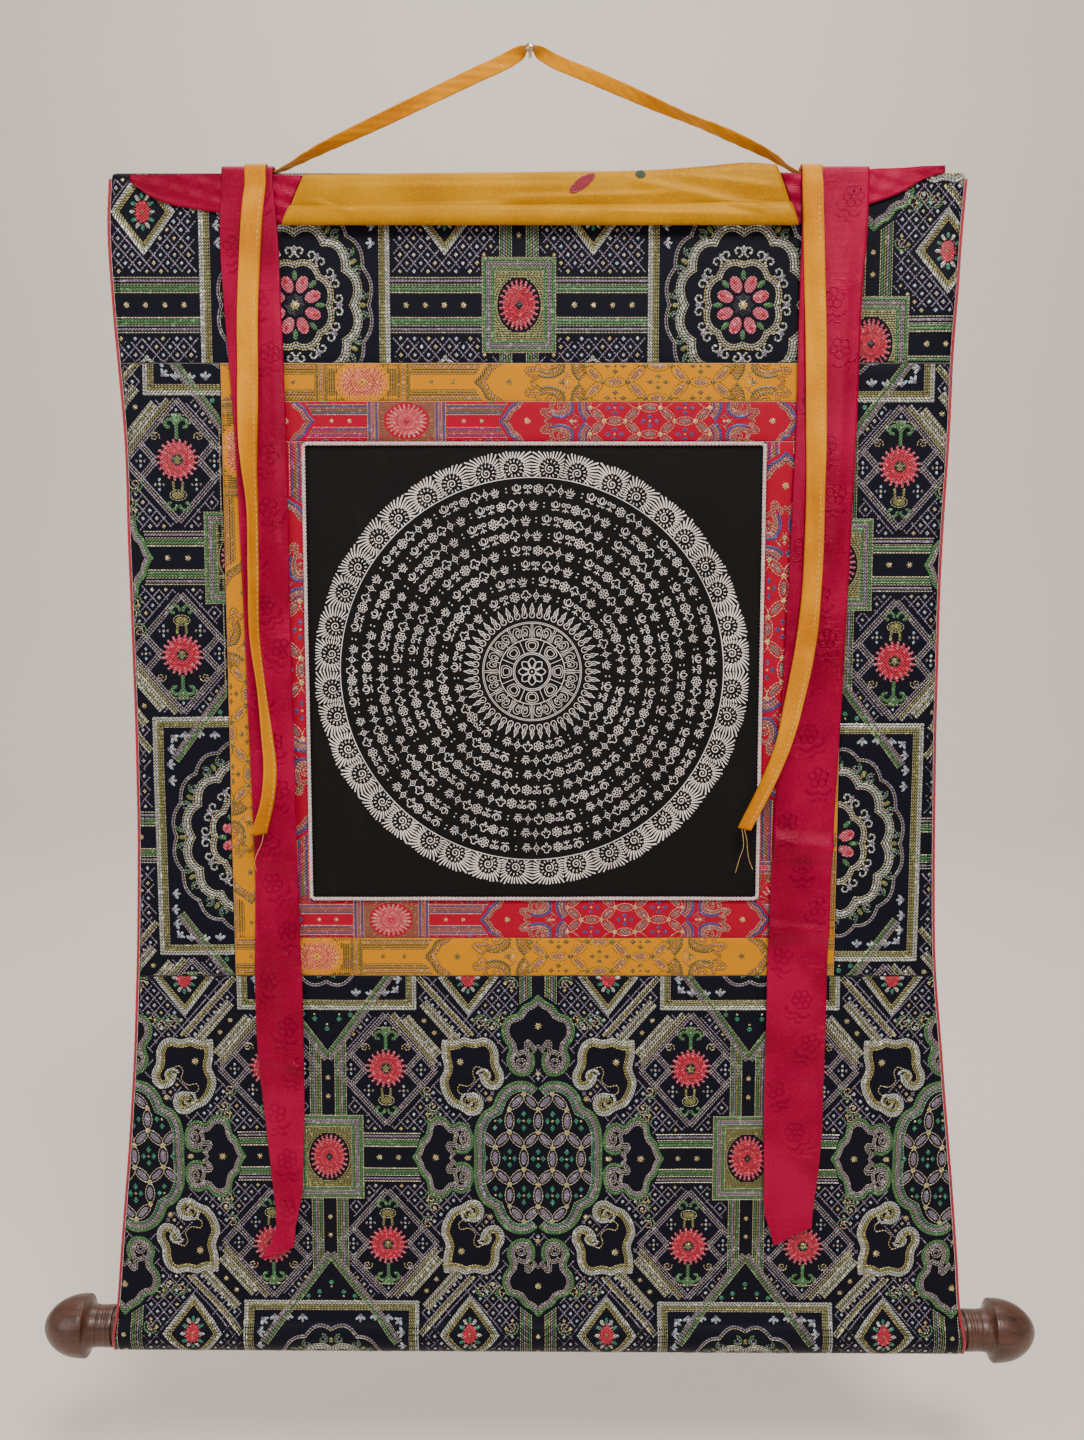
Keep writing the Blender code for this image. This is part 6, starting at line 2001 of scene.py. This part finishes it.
def sash_figure(rng):
    """A woven blossom over a pair of leaves, as (width, line) strokes in millimetres."""
    strokes = []
    petals = rng.choice((5, 6))
    for k in range(petals):
        angle = 2 * math.pi * k / petals
        petal = ellipse((5.2 * math.sin(angle), 7 + 5.2 * math.cos(angle)), 3.4, 3.4, 10)
        strokes.append((2.6, np.concatenate([petal, petal[:2]])))
    strokes.append((4.4, np.array([(-1.6, 7.0), (1.6, 7.0)])))
    for hand in (1, -1):
        strokes.append((3.6, curved_line([(0, -5), (hand * 4, -7.5), (hand * 8, -6.5), (hand * 11, -2.5)])))
        strokes.append((2.6, curved_line([(0, -10), (hand * 3.5, -13), (hand * 7.5, -12.5)])))
    turn = rng.uniform(-0.6, 0.6)
    spin = np.array([[math.cos(turn), math.sin(turn)], [-math.sin(turn), math.cos(turn)]])
    return [(width, line @ spin) for width, line in strokes]


def build_figures(name, table, tip, creases, seed, mats):
    """The sash's self-coloured figures, as low ridges in its weave."""
    rng = random.Random(seed)
    strokes = []
    level = table[0][0] - 0.016
    column = 0
    while level > table[-5][0] + 0.012:
        left = float(table_at(table, 1, level, tip))
        right = float(table_at(table, 2, level, tip))
        aside = (right - left) * (0.24, -0.26, 0.05)[column % 3]
        middle = (left + right) / 2 + aside + rng.uniform(-0.003, 0.003)
        for width, line in sash_figure(rng):
            x = middle + line[:, 0] / 1000
            z = level + line[:, 1] / 1000
            inside = (x > table_at(table, 1, z, tip) + 0.0022) & (x < table_at(table, 2, z, tip) - 0.0022)
            for run in stretches(inside, 3):
                strokes.append((width, np.stack([x[run], z[run]], -1) * 1000))
        level -= 0.036 + rng.uniform(0, 0.008)
        column += 1
    points, faces = ridges(strokes, -0.00004, 0.00012)
    x, z = points[:, 0] / 1000, points[:, 1] / 1000
    y = sash_front(table, x, z, tip, creases) - SILK / 2 - points[:, 2]
    return add_mesh(name + "_figures", np.stack([x, y, z], -1), faces, [mats["figure"]], "crimson_silk",
                    uv=points[:, :2] / 1000, smooth=False)


def build_sash(name, table, tip, creases, seed, mats):
    """A sash from its tail behind the heading, over the top and down to its cut tip."""
    z = strip_levels(table, 0.0035)
    shares = np.linspace(0, 1, 25)
    left, right = table_at(table, 1, z, tip), table_at(table, 2, z, tip)
    x = left[:, None] + (right - left)[:, None] * shares[None]
    level = np.broadcast_to(z[:, None], x.shape)
    y = sash_front(table, x, level, tip, creases)
    hanging = np.stack([x, y, level], -1)
    middle = with_tail(hanging, SASH_BACK, SASH_FRONT, SASH_TOP, SASH_TAIL)
    figures = build_figures(name, table, tip, creases, seed, mats)
    sheet_piece(name + "_silk", middle, mats["crimson"], "crimson_silk", name)


def hem_stitches(name, rows, mats):
    """Small stitches down a streamer's right hem, each sunk at both ends."""
    across = rows[:, -1] - rows[:, 0]
    seam = rows[:, 0] + across * 0.8
    down = np.gradient(seam, axis=0)
    out = np.cross(down, across)
    out /= np.linalg.norm(out, axis=1, keepdims=True)
    run = distance_along(seam)
    parts = []
    for start in np.arange(0.004, run[-1] - 0.005, 0.0048):
        at = np.linspace(start, start + 0.0032, 5)
        line = np.stack([np.interp(at, run, seam[:, k]) for k in range(3)], -1)
        side = np.stack([np.interp(at, run, out[:, k]) for k in range(3)], -1)
        arch = SILK / 2 + 0.00016 * np.sin(np.linspace(0, math.pi, 5))
        parts.append(tube_mesh(line + side * arch[:, None], 0.00026, 5))
    points, faces = join_parts(parts)
    return add_mesh(name + "_stitches", points, faces, [mats["stitch"]], "orange_ribbon")


def build_streamer(name, table, sash_table, tip, turn, mats):
    """A streamer over its sash. Where it shows narrower than it is, it is bowed."""
    z = strip_levels(table, 0.003)
    left, right = table_at(table, 1, z, -9), table_at(table, 2, z, -9)
    seen = right - left
    depth = np.minimum(np.sqrt(np.maximum(0.0, STREAMER**2 - seen**2)) / 2, 0.0055)
    middle_x = (left + right) / 2
    sash_out = table_at(sash_table, 3, z, tip)
    face = cloth_front(middle_x, z) - CLEAR - SILK - sash_out
    y = np.minimum(STREAMER_FRONT, face - CLEAR / 2 - SILK / 2) - table_at(table, 3, z, -9) - depth
    shares = np.linspace(-1, 1, 11)
    x = middle_x[:, None] + shares[None] * seen[:, None] / 2
    curl = 0.0004 * np.cos(shares[None] * 2.5 + z[:, None] * 40)
    hanging = np.stack([x, y[:, None] + turn * shares[None] * depth[:, None] - curl,
                        np.broadcast_to(z[:, None], x.shape)], -1)
    middle = with_tail(hanging, STREAMER_BACK, STREAMER_FRONT, STREAMER_TOP, STREAMER_TAIL)
    stitches = hem_stitches(name, hanging, mats)
    sheet_piece(name + "_ribbon", middle, mats["ribbon"], "orange_ribbon", name)
    return hanging


# Each loose thread: the streamer's column that it hangs from, and its steps from there.
LOOSE_THREADS = [
    ("loose_thread_left", 8, [(-0.0015, -0.001, -0.008), (-0.0035, -0.0004, -0.0075), (-0.003, 0.0, -0.008),
                              (0.0012, 0.0, -0.0085)]),
    ("loose_thread_right", 3, [(0.0012, -0.0008, -0.008), (0.0004, 0.0, -0.007), (-0.003, 0.001, -0.011),
                               (-0.0032, 0.001, -0.013)]),
    ("loose_thread_branch", 5, [(0.002, -0.0016, -0.009), (0.0006, 0.0, -0.008), (0.0016, 0.0006, -0.009),
                                (0.0036, 0.0006, -0.009)]),
]


def build_loose_thread(name, start, steps, mats):
    """A pulled thread hanging from the end of a streamer."""
    line, _ = resample(np.array(start) + np.cumsum([(0, 0, 0), *steps], axis=0), 0.0012)
    points, faces = tube_mesh(line, THREAD / 2, 6)
    made = add_mesh(name, points, faces, [mats["loose"]], "orange_ribbon")


# ================================================================ stage
def build_stage(mats):
    """Pale floor that sweeps up into a backdrop far behind."""
    section = [(-6.0, FLOOR), (BACKDROP - 1.5, FLOOR)]
    for step in range(1, 13):
        angle = math.pi / 2 * step / 12
        section.append((BACKDROP - 1.5 + 1.5 * math.sin(angle), FLOOR + 1.5 - 1.5 * math.cos(angle)))
    section.append((BACKDROP, FLOOR + 7.0))
    points = [(x, y, z) for y, z in section for x in (-9.0, 9.0)]
    faces = [(2 * k, 2 * k + 1, 2 * k + 3, 2 * k + 2) for k in range(len(section) - 1)]
    mesh = bpy.data.meshes.new("floor")
    mesh.from_pydata(points, [], faces)
    mesh.polygons.foreach_set("use_smooth", np.full(len(mesh.polygons), True))
    mesh.materials.append(mats["floor"])
    made = bpy.data.objects.new("floor", mesh)
    bpy.context.scene.collection.objects.link(made)


def make_materials():
    """Every material, by the name that the pieces use."""
    mats = {
        "navy": brocade_ground("navy_ground", (0.0008, 0.001, 0.005), (0.0042, 0.0052, 0.017)),
        "yellow": brocade_ground("yellow_ground", (0.56, 0.2, 0.0), (0.78, 0.325, 0.0)),
        "red": brocade_ground("red_ground", (0.32, 0.0, 0.016), (0.56, 0.001, 0.036)),
        "canvas": canvas_material(),
        "paint": paint_material(),
        "cord": plain_thread("cord_thread", (0.55, 0.4, 0.4), (0.83, 0.68, 0.68)),
        "crimson": silk("crimson_satin", (0.21, 0.0, 0.018), (0.36, 0.0, 0.04), (1.0, 0.18, 0.3), crinkle_and_glint=0.5,
                        soften=0.5),
        "figure": silk("crimson_figure", (0.165, 0.0, 0.014), (0.285, 0.0, 0.031), (1.0, 0.18, 0.3),
                       rough=0.26),
        "veil_paint": plain_thread("veil_paint", (0.26, 0.0, 0.018), (0.42, 0.002, 0.034)),
        "veil_green": plain_thread("veil_green", (0.03, 0.06, 0.028), (0.07, 0.12, 0.05)),
        "stitch": plain_thread("hem_stitch", (0.7, 0.42, 0.1), (0.95, 0.72, 0.34)),
        "loose": plain_thread("loose_thread", (0.42, 0.24, 0.05), (0.7, 0.44, 0.12)),
        "mustard": silk("mustard_silk", (0.45, 0.185, 0.0), (0.6, 0.275, 0.0), (1.0, 0.66, 0.15), rough=0.3,
                        soften=0.06),
        "ribbon": silk("orange_ribbon", (0.58, 0.18, 0.0), (0.8, 0.31, 0.0), (1.0, 0.6, 0.15), crinkle_and_glint=0.3),
        "binding": plain_thread("binding_thread", (0.28, 0.001, 0.016), (0.46, 0.004, 0.032)),
        "dark_wood": wood_material("dark_wood", (0.022, 0.0075, 0.004), (0.105, 0.036, 0.018), 0.34),
        "pine": wood_material("plain_wood", (0.28, 0.17, 0.09), (0.5, 0.34, 0.19), 0.6),
        "brass": brass_material(),
        "floor": floor_material(),
    }
    for way, table in THREAD_COLOURS.items():
        for thread_name, (dark, light, metal) in zip(THREADS, table):
            mats[way + "_" + thread_name] = thread(way + "_" + thread_name, dark, light, metal)
    return mats


def main():
    set_camera()
    set_light()
    mats = make_materials()
    build_nail(mats)
    build_strap(mats)
    build_panels(mats)
    build_cord(mats)
    build_binding("binding_left", left_edge, -1, mats["binding"])
    build_binding("binding_right", right_edge, 1, mats["binding"])
    build_finial("finial_left", ROD_LEFT, -1, FINIAL_LEFT, mats)
    build_finial("finial_right", ROD_RIGHT, 1, FINIAL_RIGHT, mats)
    finish_cad_wood(mats)
    build_veil(mats)
    build_crimson("veil_crimson_left", CRIMSON_LEFT, len(CRIMSON_LEFT) - 1, mats)
    build_crimson("veil_crimson_right", CRIMSON_RIGHT, 0, mats)
    build_sash("sash_left", SASH_ROWS_LEFT, TIP_LEFT, SASH_CREASES_LEFT, 3, mats)
    build_sash("sash_right", SASH_ROWS_RIGHT, TIP_RIGHT, SASH_CREASES_RIGHT, 8, mats)
    left = build_streamer("streamer_left", STREAMER_ROWS_LEFT, SASH_ROWS_LEFT, TIP_LEFT, 1, mats)
    right = build_streamer("streamer_right", STREAMER_ROWS_RIGHT, SASH_ROWS_RIGHT, TIP_RIGHT,
                           -1, mats)
    for (name, column, steps), streamer in zip(LOOSE_THREADS, (left, right, right)):
        build_loose_thread(name, streamer[-1, column].tolist(), steps, mats)
    build_stage(mats)
    bpy.context.view_layer.update()


main()
